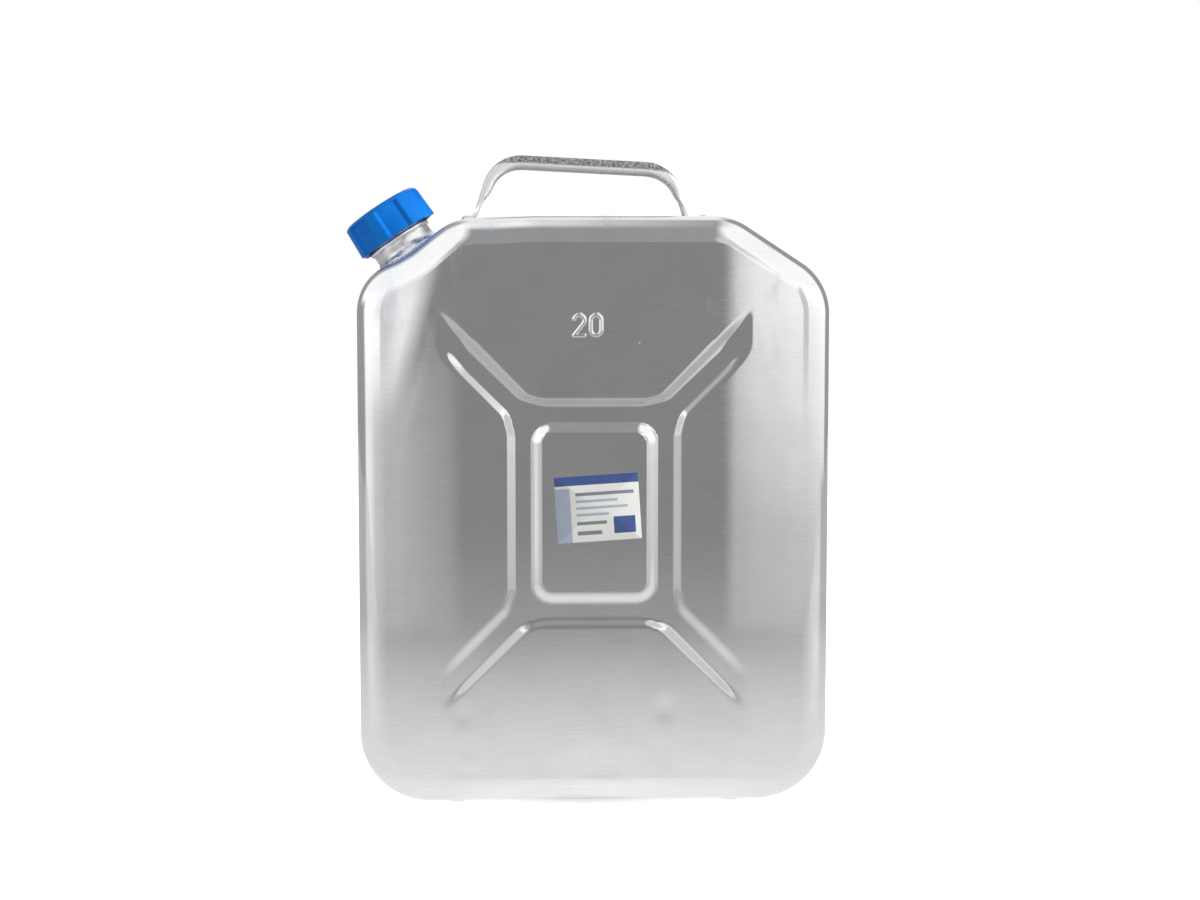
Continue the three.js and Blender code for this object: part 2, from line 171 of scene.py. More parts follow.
def walkPath(runs, s):  # point and heading at each length s along the path
    point, heading = np.zeros((len(s), 2)), np.zeros(len(s))
    ends = np.cumsum([run[2] for run in runs])
    index = np.minimum(np.searchsorted(ends, s, side="left"), len(runs) - 1)
    for k, (start, angle, length, curve) in enumerate(runs):
        here = index == k
        t = s[here] - (ends[k] - length)
        heading[here] = angle + curve * t
        if curve:
            offset = np.stack([np.sin(heading[here]) - math.sin(angle),
                               math.cos(angle) - np.cos(heading[here])], -1) / curve
        else:
            offset = t[:, None] * np.array([math.cos(angle), math.sin(angle)])
        point[here] = start + offset
    return point, heading


def onNeck(x, y, s):  # from the neck's own axes: up the slope, rearwards, outwards
    return neckFoot + x[..., None] * slopeUp + y[..., None] * rearward + s[..., None] * neckAxis


# Helpers for materials
def newMaterial(name):
    material = bpy.data.materials.new(name)
    material.use_nodes = True
    return material.node_tree, material.node_tree.nodes["Principled BSDF"], material


def addNode(tree, kind, values=None, **settings):
    node = tree.nodes.new(kind)
    for key, value in settings.items():
        setattr(node, key, value)
    for key, value in (values or {}).items():
        if isinstance(value, bpy.types.NodeSocket):
            tree.links.new(value, node.inputs[key])
        else:
            node.inputs[key].default_value = value
    return node


def math2(tree, operation, a, b=0.0):
    return addNode(tree, "ShaderNodeMath", {0: a, 1: b}, operation=operation).outputs[0]


def times(tree, first, *others):  # product of all
    for other in others:
        first = math2(tree, "MULTIPLY", first, other)
    return first


def plus(tree, first, *others):  # sum of all
    for other in others:
        first = math2(tree, "ADD", first, other)
    return first


def spread(tree, value, low, high, toLow, toHigh, kind="LINEAR"):  # value from one range to another
    values = {"Value": value, "From Min": low, "From Max": high, "To Min": toLow, "To Max": toHigh}
    return addNode(tree, "ShaderNodeMapRange", values, interpolation_type=kind).outputs[0]


def objectPlace(tree):
    return addNode(tree, "ShaderNodeTexCoord").outputs["Object"]


def blankPlace(tree):
    return addNode(tree, "ShaderNodeUVMap", uv_map="blank").outputs[0]


def stretched(tree, place, scale, turn=(0, 0, 0)):
    return addNode(tree, "ShaderNodeMapping", {"Vector": place, "Scale": scale, "Rotation": turn}).outputs[0]


def cloud(tree, place, scale, detail=3.0, roughness=0.55):
    values = {"Vector": place, "Scale": scale, "Detail": detail, "Roughness": roughness}
    return addNode(tree, "ShaderNodeTexNoise", values).outputs[0]


def cells(tree, place, scale, output="Distance", feature="F1"):
    values = {"Vector": place, "Scale": scale}
    return addNode(tree, "ShaderNodeTexVoronoi", values, feature=feature).outputs[output]


def tint(tree, factor, colourA, colourB, kind="MIX"):
    values = {0: factor, 6: colourA, 7: colourB}
    return addNode(tree, "ShaderNodeMix", values, data_type="RGBA", blend_type=kind).outputs[2]


def bumpy(tree, height, strength, distance, normal=None):
    values = {"Height": height, "Strength": strength, "Distance": distance}
    if normal is not None:
        values["Normal"] = normal
    return addNode(tree, "ShaderNodeBump", values).outputs[0]


def feed(tree, shader, **sockets):
    names = {"colour": "Base Color", "roughness": "Roughness", "metallic": "Metallic", "normal": "Normal",
             "tangent": "Tangent"}
    for key, value in sockets.items():
        tree.links.new(value, shader.inputs[names[key]])


# Rolled aluminium sheet: fine lines along X, cloudy handling marks, bluish smudges, small scratches
rolled = {
    "light": (0.83, 0.835, 0.84, 1), "dull": (0.76, 0.77, 0.785, 1), "smudge": (0.70, 0.745, 0.82, 1),
    "roughness": (0.034, 0.046), "smudged": 0.16, "heated": 0.12, "heatedTo": (0.062, 0.085),
    "anisotropic": 1.0,
}


def sheetMetal():
    tree, shader, material = newMaterial("rolledSheet")
    place = blankPlace(tree)
    lines = cloud(tree, stretched(tree, place, (9, 900, 1)), 1.0, 3.0, 0.6)
    streaks = cloud(tree, stretched(tree, place, (5, 160, 1)), 1.0, 3.0, 0.6)
    clouds = cloud(tree, place, 22.0, 4.0, 0.6)
    wisps = cloud(tree, stretched(tree, place, (34, 9, 1), (0, 0, 0.5)), 1.0, 4.0, 0.65)
    dull = times(tree, spread(tree, clouds, 0.45, 0.7, 0, 1), spread(tree, streaks, 0.3, 0.7, 0.4, 1))
    colour = tint(tree, dull, rolled["light"], rolled["dull"])
    height = addNode(tree, "ShaderNodeSeparateXYZ", {0: place}).outputs[1]
    wisps = times(tree, spread(tree, wisps, 0.54, 0.72, 0, 1), spread(tree, height, 0.31, 0.37, 0, 1))
    colour = tint(tree, times(tree, wisps, 0.6), colour, rolled["smudge"])
    grain = cloud(tree, stretched(tree, place, (30, 1300, 1)), 1.0, 2.0, 0.6)
    colour = tint(tree, 1.0, colour, spread(tree, grain, 0.3, 0.7, 0.96, 1.03), "MULTIPLY")
    flecks = cloud(tree, place, 700.0, 3.0, 0.7)
    colour = tint(tree, 1.0, colour, spread(tree, flecks, 0.3, 0.7, 0.95, 1.04), "MULTIPLY")
    specks = cells(tree, place, 75.0)
    rarity = cells(tree, place, 75.0, "Color")
    size = spread(tree, rarity, 0.0, 1.0, -0.12, 0.055)
    speck = spread(tree, math2(tree, "SUBTRACT", specks, size), -0.02, 0.015, 1, 0, "SMOOTHSTEP")
    feed(tree, shader, colour=colour)
    smudged = times(tree, wisps, rolled["smudged"])
    rough = plus(tree, spread(tree, clouds, 0.3, 0.7, *rolled["roughness"]), smudged)
    ends = {0: objectPlace(tree), 1: tuple(neckFoot * 0.001)}
    fromNeck = addNode(tree, "ShaderNodeVectorMath", ends, operation="DISTANCE").outputs["Value"]
    rough = plus(tree, rough, spread(tree, fromNeck, *rolled["heatedTo"], rolled["heated"], 0))
    feed(tree, shader, roughness=rough)
    shader.inputs["Metallic"].default_value = 1
    shader.inputs["Anisotropic"].default_value = rolled["anisotropic"]
    shader.inputs["Anisotropic Rotation"].default_value = 0.25
    tangent = addNode(tree, "ShaderNodeTangent", direction_type="UV_MAP", uv_map="blank").outputs[0]
    feed(tree, shader, tangent=tangent)
    normal = bumpy(tree, lines, 0.06, 0.0001)
    feed(tree, shader, normal=bumpy(tree, speck, 0.5, 0.0003, normal))
    return material


# Weld metal: flecks and stains; the seam is finely rippled, the neck's fillet ran smooth
def weldMetal(name, grainScale, grainHeight, roughness):
    tree, shader, material = newMaterial(name)
    place = objectPlace(tree)
    lumps = cloud(tree, place, grainScale, 3.0, 0.55)
    stains = cloud(tree, place, 160.0, 3.0)
    soot = spread(tree, stains, 0.45, 0.72, 0, 0.7)
    feed(tree, shader, colour=tint(tree, soot, (0.84, 0.84, 0.84, 1), (0.58, 0.585, 0.60, 1)))
    feed(tree, shader, roughness=spread(tree, lumps, 0.3, 0.7, *roughness))
    shader.inputs["Metallic"].default_value = 1
    feed(tree, shader, normal=bumpy(tree, lumps, 0.8, grainHeight))
    return material


# Turned neck: fine grooves round the axis
def neckMetal():
    tree, shader, material = newMaterial("turnedNeck")
    turn = math.atan2(-neckAxis[0], neckAxis[2])
    place = stretched(tree, objectPlace(tree), (1, 1, 1), (0, turn, 0))
    along = addNode(tree, "ShaderNodeSeparateXYZ", {0: place}).outputs[2]
    grooves = cloud(tree, addNode(tree, "ShaderNodeCombineXYZ", {2: along}).outputs[0], 2600.0, 2.0)
    stains = cloud(tree, objectPlace(tree), 120.0, 3.0)
    feed(tree, shader, colour=tint(tree, spread(tree, stains, 0.4, 0.7, 0, 0.8),
                                   (0.84, 0.84, 0.835, 1), (0.66, 0.665, 0.67, 1)))
    feed(tree, shader, roughness=spread(tree, stains, 0.3, 0.7, 0.16, 0.28))
    shader.inputs["Metallic"].default_value = 1
    feed(tree, shader, normal=bumpy(tree, grooves, 0.35, 0.0002))
    return material


# Handle strap: bright sheet, mottled dark along the grip's upper band where the mask is one
def strapMetal():
    tree, shader, material = newMaterial("handleStrap")
    place = objectPlace(tree)
    mask = addNode(tree, "ShaderNodeAttribute", attribute_name="mottle").outputs["Fac"]
    pebbles = cells(tree, place, 800.0, feature="SMOOTH_F1")
    patches = cloud(tree, place, 480.0, 4.0, 0.65)
    lane = addNode(tree, "ShaderNodeAttribute", attribute_name="lane").outputs["Fac"]
    streaks = cloud(tree, lane, 420.0, 2.0)
    streaks = spread(tree, streaks, 0.36, 0.64, 0, 1)
    bright = tint(tree, streaks, (0.80, 0.80, 0.79, 1), (0.56, 0.565, 0.565, 1))
    patches = spread(tree, patches, 0.42, 0.66, 0, 1)
    dark = tint(tree, patches, (0.20, 0.203, 0.207, 1), (0.56, 0.565, 0.57, 1))
    feed(tree, shader, colour=tint(tree, mask, bright, dark))
    feed(tree, shader, roughness=spread(tree, mask, 0, 1, 0.3, 0.36))
    feed(tree, shader, metallic=spread(tree, mask, 0, 1, 0.3, 1))
    pebbleHeight = times(tree, pebbles, mask)
    feed(tree, shader, normal=bumpy(tree, pebbleHeight, 0.9, 0.0009))
    return material


# Blue moulded plastic
def capPlastic():
    tree, shader, material = newMaterial("capPlastic")
    place = objectPlace(tree)
    flow = cloud(tree, place, 60.0, 3.0)
    grain = cloud(tree, place, 1500.0, 2.0)
    rub = cloud(tree, stretched(tree, place, (200, 200, 60)), 1.0, 4.0, 0.65)
    flow = spread(tree, flow, 0.35, 0.68, 0, 1)
    colour = tint(tree, flow, (0.0005, 0.115, 0.45, 1), (0.002, 0.15, 0.53, 1))
    colour = tint(tree, spread(tree, rub, 0.62, 0.8, 0, 0.35), colour, (0.03, 0.2, 0.55, 1))
    feed(tree, shader, colour=colour)
    feed(tree, shader, roughness=spread(tree, rub, 0.3, 0.75, 0.24, 0.42))
    shader.inputs["Specular IOR Level"].default_value = 0.12
    feed(tree, shader, normal=bumpy(tree, grain, 0.12, 0.0002))
    return material


# Black sealing rubber
def sealRubber():
    tree, shader, material = newMaterial("sealRubber")
    place = objectPlace(tree)
    bloom = cloud(tree, place, 180.0, 4.0, 0.6)
    feed(tree, shader, colour=tint(tree, spread(tree, bloom, 0.4, 0.7, 0, 1),
                                   (0.011, 0.012, 0.012, 1), (0.03, 0.03, 0.031, 1)))
    feed(tree, shader, roughness=spread(tree, bloom, 0.3, 0.7, 0.6, 0.85))
    feed(tree, shader, normal=bumpy(tree, cloud(tree, place, 2200.0, 2.0), 0.3, 0.0002))
    return material


# Printed label: pale field with plain blocks and rules, on its own flat map in metres from the middle
labelPrint = {
    "paper": (0.50, 0.50, 0.48, 1), "blue": (0.018, 0.045, 0.16, 1), "pale": (0.24, 0.275, 0.34, 1),
    "grey": (0.13, 0.14, 0.16, 1), "worn": (0.43, 0.43, 0.41, 1), "softEdge": 0.00012,
    # left, right, bottom, top in millimetres, then the ink
    "blocks": [(-31, 31, 17.5, 24.5, "blue"), (-31, -20, -24.5, 15.5, "pale"), (-16, 27, 9.5, 12.0, "grey"),
               (-16, 15, 4.5, 6.5, "pale"), (-16, 22, -0.5, 1.5, "pale"), (-16, 8, -5.5, -3.5, "pale"),
               (11, 27, -19.5, -7.0, "blue"), (-16, 6, -12.0, -9.5, "grey"), (-16, 2, -19.5, -16.5, "grey")],
}


def labelPaper():
    tree, shader, material = newMaterial("labelPaper")
    place = blankPlace(tree)
    axes = addNode(tree, "ShaderNodeSeparateXYZ", {0: place})
    fibre = cloud(tree, place, 1400.0, 3.0)
    wear = cloud(tree, place, 110.0, 4.0, 0.6)
    colour = tint(tree, spread(tree, wear, 0.35, 0.75, 0, 0.5), labelPrint["paper"], labelPrint["worn"])
    edge = labelPrint["softEdge"]
    for left, right, bottom, top, ink in labelPrint["blocks"]:
        sides = []
        for axis, low, high in ((axes.outputs[0], left, right), (axes.outputs[1], bottom, top)):
            sides.append(spread(tree, axis, low * 0.001 - edge, low * 0.001 + edge, 0, 1))
            sides.append(spread(tree, axis, high * 0.001 - edge, high * 0.001 + edge, 1, 0))
        inside = times(tree, *sides, spread(tree, fibre, 0.3, 0.5, 0.86, 1))
        colour = tint(tree, inside, colour, labelPrint[ink])
    feed(tree, shader, colour=colour)
    feed(tree, shader, roughness=spread(tree, wear, 0.3, 0.7, 0.28, 0.5))
    feed(tree, shader, normal=bumpy(tree, fibre, 0.1, 0.0001))
    return material


sheetFinish, neckFinish = sheetMetal(), neckMetal()
weldFinish = weldMetal("weldBead", 900.0, 0.0006, (0.14, 0.34))
filletFinish = weldMetal("neckFillet", 240.0, 0.0004, (0.26, 0.42))
strapFinish, capFinish, rubberFinish, paperFinish = strapMetal(), capPlastic(), sealRubber(), labelPaper()
print("materials made")


# Half shells: a flat face with the pressed channel, rounded into a drawn wall that ends at the mid-plane
shell = {
    "shoulderRun": 73, "shoulderDrop": 48, "shoulderRadius": 45, "bottomRadius": 52, "edgeRadius": 20,
    "gauge": 1.5, "rootGap": 0.3, "holeRadius": 20.8, "fallOver": 16, "fallBend": 0.0006, "pullFrom": 0.45,
    "roundSteps": 8, "wallSteps": 6, "innerRoundSteps": 4, "innerWallSteps": 3,
    "columns": {"front": 224, "rear": 190}, "closer": 3.2,
    # height where the pressing starts, then the steps between rows from the bottom up
    "pressFrom": 88, "bottomStep": 5.8, "lowStep": 3.0, "pressStep": {"front": 1.8, "rear": 1.65},
    "numberStep": 0.47, "shoulderSteps": (1.8, 2.0, 2.4), "holeRows": 17,
}
press = {
    "panelRise": 1.6, "depth": 0.98, "slope": 5.6, "bend": 0.16, "panel": (42.75, 63.25, 12),
    "ring": (61.15, 81.65, 21), "fillet": 10, "armFrom": (51.95, 72.45), "armTo": (126.0, 146.5),
    "armHalf": 9.2, "fadeFrom": 94, "fadeOver": 22,
}
number = {"rise": 0.4, "slope": 0.5, "stroke": 1.9, "middle": 359.6, "half": 7.4, "radius": 3.85,
          "twoX": -5.4, "zeroX": 6.9, "reachX": 22, "reachZ": 14, "rowsFrom": 11}
# x, z, depth and the two half widths of each dent in the front
dents = [(-92, 70, 0.3, 7, 8), (-88, 45, 0.3, 8, 8), (-92, 26, 0.3, 8, 6),
         (11, 30, 1.0, 27, 11), (58, 74, 0.35, 8, 8)]
# top left corner drawn in by the weld
warp = {"x": -88.5, "z": 408.9, "across": (-0.951, 0.307), "bend": 0.0014}
# shoulder drawn in round the neck
hollow = {"depth": 4.6, "reach": 25, "after": 1.8, "afterAt": 48, "afterReach": 30, "from": 24, "over": 9,
          "ripple": 0.15, "start": -70, "grow": 40}

halfTop = halfWidth - shell["shoulderRun"]
shoulderCorner = (halfWidth, bodyTop - shell["shoulderDrop"])
sideCorners = [(0, bodyBottom), (halfWidth, bodyBottom), shoulderCorner, (halfTop, bodyTop), (0, bodyTop)]
sideRuns = roundPath(sideCorners, [shell["bottomRadius"], shell["shoulderRadius"], shell["shoulderRadius"]])
sideEnds = np.cumsum([run[2] for run in sideRuns])
shoulderStart, shoulderHeading = sideRuns[4][0], sideRuns[4][1]
neckAlong = sideEnds[3] + ((centreX - neckFoot[0] - shoulderStart[0]) * math.cos(shoulderHeading)
                           + (neckFoot[2] - shoulderStart[1]) * math.sin(shoulderHeading))


def evenly(start, stop, step):  # equal steps, without the last point
    return np.linspace(start, stop, max(2, round((stop - start) / step)) + 1)[:-1]


def sideStations(side):  # lengths along the right outline at which the rows of the shell start
    zeroZ = sideEnds[1] - (bodyBottom + shell["bottomRadius"])  # length minus height on the straight side
    pressed = shell["pressFrom"] + zeroZ
    fine = number["middle"] - number["rowsFrom"] + zeroZ if side == "front" else sideEnds[2]
    hole = neckAlong + shell["holeRadius"] * np.sin(np.radians(np.linspace(-90, 90, shell["holeRows"])))
    below, above, top = shell["shoulderSteps"]
    parts = [evenly(sideEnds[0], sideEnds[1], shell["bottomStep"]),
             evenly(sideEnds[1], pressed, shell["lowStep"]),
             evenly(pressed, fine, shell["pressStep"][side])]
    if side == "front":
        parts.append(evenly(fine, sideEnds[2], shell["numberStep"]))
    parts += [evenly(sideEnds[2], hole[0], below), hole, evenly(hole[-1], sideEnds[4], above)[1:],
              evenly(sideEnds[4], sideEnds[5], top), [sideEnds[5]]]
    stations = np.concatenate(parts)
    if len(stations) % 2 == 0:  # an even count of rows, so that the inner skin can take every second one
        stations = np.insert(stations, 1, stations[:2].mean())
    return stations


def sideColumns(side):  # shares of the half width, closer together round the number
    share = np.linspace(-1, 1, 4001)
    near = smooth(1.6 - np.abs(share + 0.03) / 0.085) if side == "front" else 0 * share
    grown = np.cumsum(1 + shell["closer"] * near)
    grown = (grown - grown[0]) / (grown[-1] - grown[0])
    return np.interp(np.linspace(0, 1, shell["columns"][side] + 1), grown, share)


def roundedBox(x, z, halfX, halfZ, radius):  # signed distance to a rectangle with round corners
    qx, qz = np.abs(x) - halfX + radius, np.abs(z) - halfZ + radius
    return np.hypot(np.maximum(qx, 0), np.maximum(qz, 0)) + np.minimum(np.maximum(qx, qz), 0) - radius


def lineDistance(x, z, line):  # least distance to a polyline
    line = np.array(line, float)
    start, step = line[:-1], np.diff(line, axis=0)
    relX, relZ = x[..., None] - start[:, 0], z[..., None] - start[:, 1]
    t = np.clip((relX * step[:, 0] + relZ * step[:, 1]) / (step ** 2).sum(1), 0, 1)
    return np.hypot(relX - t * step[:, 0], relZ - t * step[:, 1]).min(-1)


def slopeShare(distance):  # 0 outside to 1 inside an edge: a straight slope, rounded at its foot and its top
    bend = press["bend"]
    t = np.clip(0.5 - distance / press["slope"], 0, 1)
    low = np.minimum(t, 1 - t)
    soft = np.where(low < bend, low ** 2 / (2 * bend), low - bend / 2) / (1 - bend)
    return np.where(t < 0.5, soft, 1 - soft)


def pressedIn(x, z):  # depth of the channel, a ring round the panel joined by four arms
    x, z = np.abs(x), np.abs(z)
    ring = roundedBox(x, z, *press["ring"])
    arm = lineDistance(x, z, [press["armFrom"], press["armTo"]]) - press["armHalf"]
    r = press["fillet"]
    joined = np.maximum(r, np.minimum(ring, arm)) - np.hypot(np.maximum(r - ring, 0), np.maximum(r - arm, 0))
    ends = smooth(1 - (x - press["fadeFrom"]) / press["fadeOver"])  # the arms run out sideways
    panel = slopeShare(roundedBox(x, z, *press["panel"]))
    return (press["panelRise"] + press["depth"] * slopeShare(joined) * ends) * (1 - panel)


def edgeFall(x, z):  # the flat face bends away gently next to the top, the bottom and the sides
    within = shell["edgeRadius"] + shell["fallOver"]
    sides = [z - bodyBottom, bodyTop - z, halfWidth - np.abs(x)]
    return sum(np.maximum(within - side, 0) ** 2 for side in sides) * shell["fallBend"] / 2


def raisedNumber(x, z):  # height of the strokes of a plain 20, flat on top with short slopes
    z = z - number["middle"]
    radius, half = number["radius"], number["half"]
    turn = np.radians(np.linspace(165, -35, 13))
    two = np.stack([radius * np.cos(turn), half - radius + radius * np.sin(turn)], -1)
    two = np.concatenate([two, [(-radius, -half), (radius, -half)]])
    near = np.minimum(lineDistance(x - number["twoX"], z, two),
                      np.abs(roundedBox(x - number["zeroX"], z, radius, half, radius)))
    return number["rise"] * smooth(0.5 - (near - number["stroke"] / 2) / number["slope"])


def faceDepth(x, z, side):  # how far the face lies behind its plane
    depth = pressedIn(x - centreX, z - bodyMiddle) + edgeFall(x - centreX, z)
    if side == "front":
        for dentX, dentZ, deep, reachX, reachZ in dents:
            depth = depth + deep * np.exp(-((x - dentX) / reachX) ** 2 - ((z - dentZ) / reachZ) ** 2)
        beyond = (x - warp["x"]) * warp["across"][0] + (z - warp["z"]) * warp["across"][1]
        depth = depth + warp["bend"] / 2 * np.maximum(beyond, 0) ** 2
        inNumber = (np.abs(x) < number["reachX"]) & (np.abs(z - number["middle"]) < number["reachZ"])
        rise = np.zeros_like(depth)
        rise[inNumber] = raisedNumber(x[inNumber], z[inNumber])
        depth = depth - rise
    return depth


def neckHollow(offset):  # how far the shoulder is drawn in, by the way up the slope from the neck's axis
    sunk = hollow["depth"] * np.exp(-(offset / hollow["reach"]) ** 2)
    sunk = sunk + hollow["after"] * np.exp(-((offset - hollow["afterAt"]) / hollow["afterReach"]) ** 2)
    return sunk * smooth((offset - hollow["start"]) / hollow["grow"])


def shellSkin(side, stations, shares, inset, roundSteps, wallSteps):
    # face grid, then rings round it: the rounding turns by 90 degrees, the wall runs to the mid-plane
    outlinePoint, heading = walkPath(sideRuns, stations)
    outward = np.stack([np.sin(heading), -np.cos(heading)], -1)
    radius = shell["edgeRadius"]
    inner = outlinePoint - radius * outward
    rowCount, columnCount = len(stations), len(shares)
    sunk = neckHollow(stations - neckAlong)
    pull = np.stack([sunk * outward[:, 0], -sunk * outward[:, 1]], -1)  # left shoulder, towards the inside
    share = smooth((-shares - shell["pullFrom"]) / (1 - shell["pullFrom"]))
    flat = np.stack([inner[:, :1] * shares, np.repeat(inner[:, 1:], columnCount, 1)], -1)
    flatMap = flat.copy()
    flat = flat + pull[:, None] * share[None, :, None]
    # the loop runs along the bottom, up the right side, back along the top and down the left side
    row = np.concatenate([np.zeros(columnCount - 1, int), np.arange(rowCount - 1),
                          np.full(columnCount - 1, rowCount - 1), np.arange(rowCount - 1, 0, -1)])
    column = np.concatenate([np.arange(columnCount - 1), np.full(rowCount - 1, columnCount - 1),
                             np.arange(columnCount - 1, 0, -1), np.zeros(rowCount - 1, int)])
    onLeft = np.arange(len(row)) >= 2 * (columnCount - 1) + rowCount - 1
    edge, edgeMap = flat[row, column], flatMap[row, column]
    loopOut = outward[row] * np.where(onLeft, -1, 1)[:, None] ** np.array([1, 2])
    loopPull = pull[row] * share[column][:, None]
    edge = edge - loopPull
    fullDepth = midY - frontLow[1]
    reach = np.full(len(row), shell["rootGap"] / 2)
    across = shell["holeRadius"] ** 2 - (stations[row] - neckAlong) ** 2
    reach = np.where(onLeft, np.maximum(reach, np.sqrt(np.maximum(across, 0))), reach)
    turn = np.radians(np.linspace(0, 90, roundSteps + 1))[1:, None]
    small = radius - inset
    rings = [edge + loopOut * small * np.sin(a) for a in turn]
    depths = [np.full(len(row), inset + small * (1 - math.cos(a[0]))) for a in turn]
    weights = [np.full(len(row), math.cos(a[0])) for a in turn]
    lengths = [np.full(len(row), radius * a[0]) for a in turn]
    for k in range(wallSteps):
        rings.append(rings[roundSteps - 1])
        depths.append(radius + (fullDepth - reach - radius) * (k + 1) / wallSteps)
        weights.append(np.zeros(len(row)))
        lengths.append(radius * np.pi / 2 + depths[-1] - radius)
    rings, depths, weights = np.stack(rings), np.stack(depths), np.stack(weights)
    away = smooth((fullDepth - depths - hollow["from"]) / hollow["over"])
    rings = rings + loopPull[None] * away[..., None]
    wrinkle = waves(np.stack([np.broadcast_to(stations[row], depths.shape), depths], -1) * 0.5, 7, 2)
    nearNeck = np.exp(-((stations[row] - neckAlong) / hollow["reach"]) ** 2) * onLeft * smooth(weights / 0.4)
    rings = rings - loopOut * (hollow["ripple"] * (1 + wrinkle) * nearNeck)[..., None]
    ringMap = edgeMap + loopOut * np.stack(lengths)[..., None]
    faceX, faceZ = centreX + flat[..., 0], flat[..., 1]
    faceY = inset + faceDepth(faceX, faceZ, side)
    ringY = depths + weights * faceDepth(centreX + rings[..., 0], rings[..., 1], side)
    x = np.concatenate([faceX.ravel(), (centreX + rings[..., 0]).ravel()])
    z = np.concatenate([faceZ.ravel(), rings[..., 1].ravel()])
    y = np.concatenate([faceY.ravel(), ringY.ravel()])
    y = frontLow[1] + y if side == "front" else rearHigh[1] - y
    uv = np.concatenate([flatMap.reshape(-1, 2), ringMap.reshape(-1, 2)])
    around = len(row)
    ringIndex = np.concatenate([[row * columnCount + column],
                                rowCount * columnCount + np.arange(len(rings) * around).reshape(-1, around)])
    ahead = np.roll(ringIndex, -1, 1)
    strips = np.stack([ahead[:-1], ringIndex[:-1], ringIndex[1:], ahead[1:]], -1).reshape(-1, 4)
    quads = np.concatenate([gridQuads(rowCount, columnCount), strips])
    return np.stack([x, y, z], -1), quads, uv, ringIndex[-1]


def makeShell(side):
    stations, shares = sideStations(side), sideColumns(side)
    outer = shellSkin(side, stations, shares, 0, shell["roundSteps"], shell["wallSteps"])
    inner = shellSkin(side, stations[::2], shares[::2], shell["gauge"],
                      shell["innerRoundSteps"], shell["innerWallSteps"])
    count = len(outer[0])
    fine, coarse = outer[3], inner[3] + count
    fineA, fineB, fineC = fine[0::2], fine[1::2], np.roll(fine[0::2], -1)
    coarseB = np.roll(coarse, -1)
    rim = np.concatenate([np.stack(t, -1) for t in (
        (fineB, fineA, coarse), (fineC, fineB, coarseB), (fineB, coarse, coarseB))])
    points = np.concatenate([outer[0], inner[0]])
    quads = np.concatenate([outer[1], inner[1][:, ::-1] + count])
    uv = np.concatenate([outer[2], inner[2]])
    name = side + "Shell"
    return addPiece(name, (points, quads, rim), "can", [side + "_shell"], sheetFinish, uv)


makeShell("front")
makeShell("rear")


# Seam weld: a rippled bead along the mid-plane
bead = {"half": 3.0, "height": 1.5, "topShare": 0.25, "ripple": 0.3, "pitch": 2.6, "step": 0.5, "around": 9,
        "sunk": 0.5, "footShare": 0.8, "bow": 0.28, "runOut": 2.5, "uneven": 0.06, "wavy": 0.07}
footZone = {"left": -82.5, "right": 66.5, "rightEnd": 89.6, "neckReach": 29.9}


# A half ellipse carried along the outline, its height rising and falling in crescents
def beadAlong(runs, start, stop, share=1.0):
    s = np.linspace(start, stop, int((stop - start) / bead["step"]) + 1)[:, None]
    middle, heading = walkPath(runs, s[:, 0])
    outward = np.stack([-np.sin(heading), np.cos(heading)], -1)
    turn = np.linspace(0, np.pi, bead["around"])[None, :]
    footHalf = bead["half"] * bead["footShare"]
    across = np.concatenate([bead["half"] * np.cos(turn), [[-footHalf, footHalf]]], 1)
    rise = np.concatenate([np.sin(turn), [[0, 0]]], 1)
    wander = waves(np.concatenate([s * 0.09, 0 * s], 1), 11, 3)[:, None]
    crest = np.cos(2 * np.pi * (s + bead["bow"] * across ** 2 + 0.5 * wander) / bead["pitch"])
    ripple = 1 + bead["ripple"] * (crest - 1) / 2 + bead["uneven"] * (wander - 1)
    high = share * bead["height"] * rise * ripple
    ends = smooth(np.minimum(s - start, stop - s) / bead["runOut"])
    high = np.where(rise > 0, high * ends, -bead["sunk"]) - bead["sunk"] * (1 - ends)
    wide = across * (1 + bead["wavy"] * wander * (rise > 0))
    x = centreX + middle[:, :1] + outward[:, :1] * high
    z = middle[:, 1:] + outward[:, 1:] * high
    return solidRows(np.stack([x, midY + wide + 0 * x, z], -1))


bends = [shell["shoulderRadius"]] * 2 + [shell["bottomRadius"]] * 2 + [shell["shoulderRadius"]] * 2
allRuns = roundPath([(0, bodyTop), (halfTop, bodyTop), shoulderCorner, (halfWidth, bodyBottom),
                     (-halfWidth, bodyBottom), (-halfWidth, shoulderCorner[1]), (-halfTop, bodyTop),
                     (0, bodyTop)], bends)
allLength = sum(run[2] for run in allRuns)
neckMeets = allLength - sideEnds[-1] + neckAlong - footZone["neckReach"]
seam = beadAlong(allRuns, footZone["rightEnd"], neckMeets)
addPiece("seamBead", seam, "can", ["seam_weld"], weldFinish)
topLength = footZone["right"] - footZone["left"]
topRun = [(np.array([footZone["left"], bodyTop]), 0.0, topLength, 0.0)]
topSeam = beadAlong(topRun, 0, topLength, bead["topShare"])
addPiece("seamBeadTop", topSeam, "can", ["seam_weld_top"], weldFinish)


# Filler neck: turned sleeve with a collar, an outer thread and a bevelled rim
neck = {"radius": 24.0, "bore": 20.8, "rise": 35.8, "collar": 25.6, "collarFrom": 11.0, "collarTo": 14.1,
        "edge": 0.5, "sunk": 0.2, "screwFrom": 15.0, "screwStep": 0.45, "around": 168}
thread = {"pitch": 6.0, "depth": 1.8, "half": 1.05, "flank": 0.55, "from": 16.5, "to": 33.0}


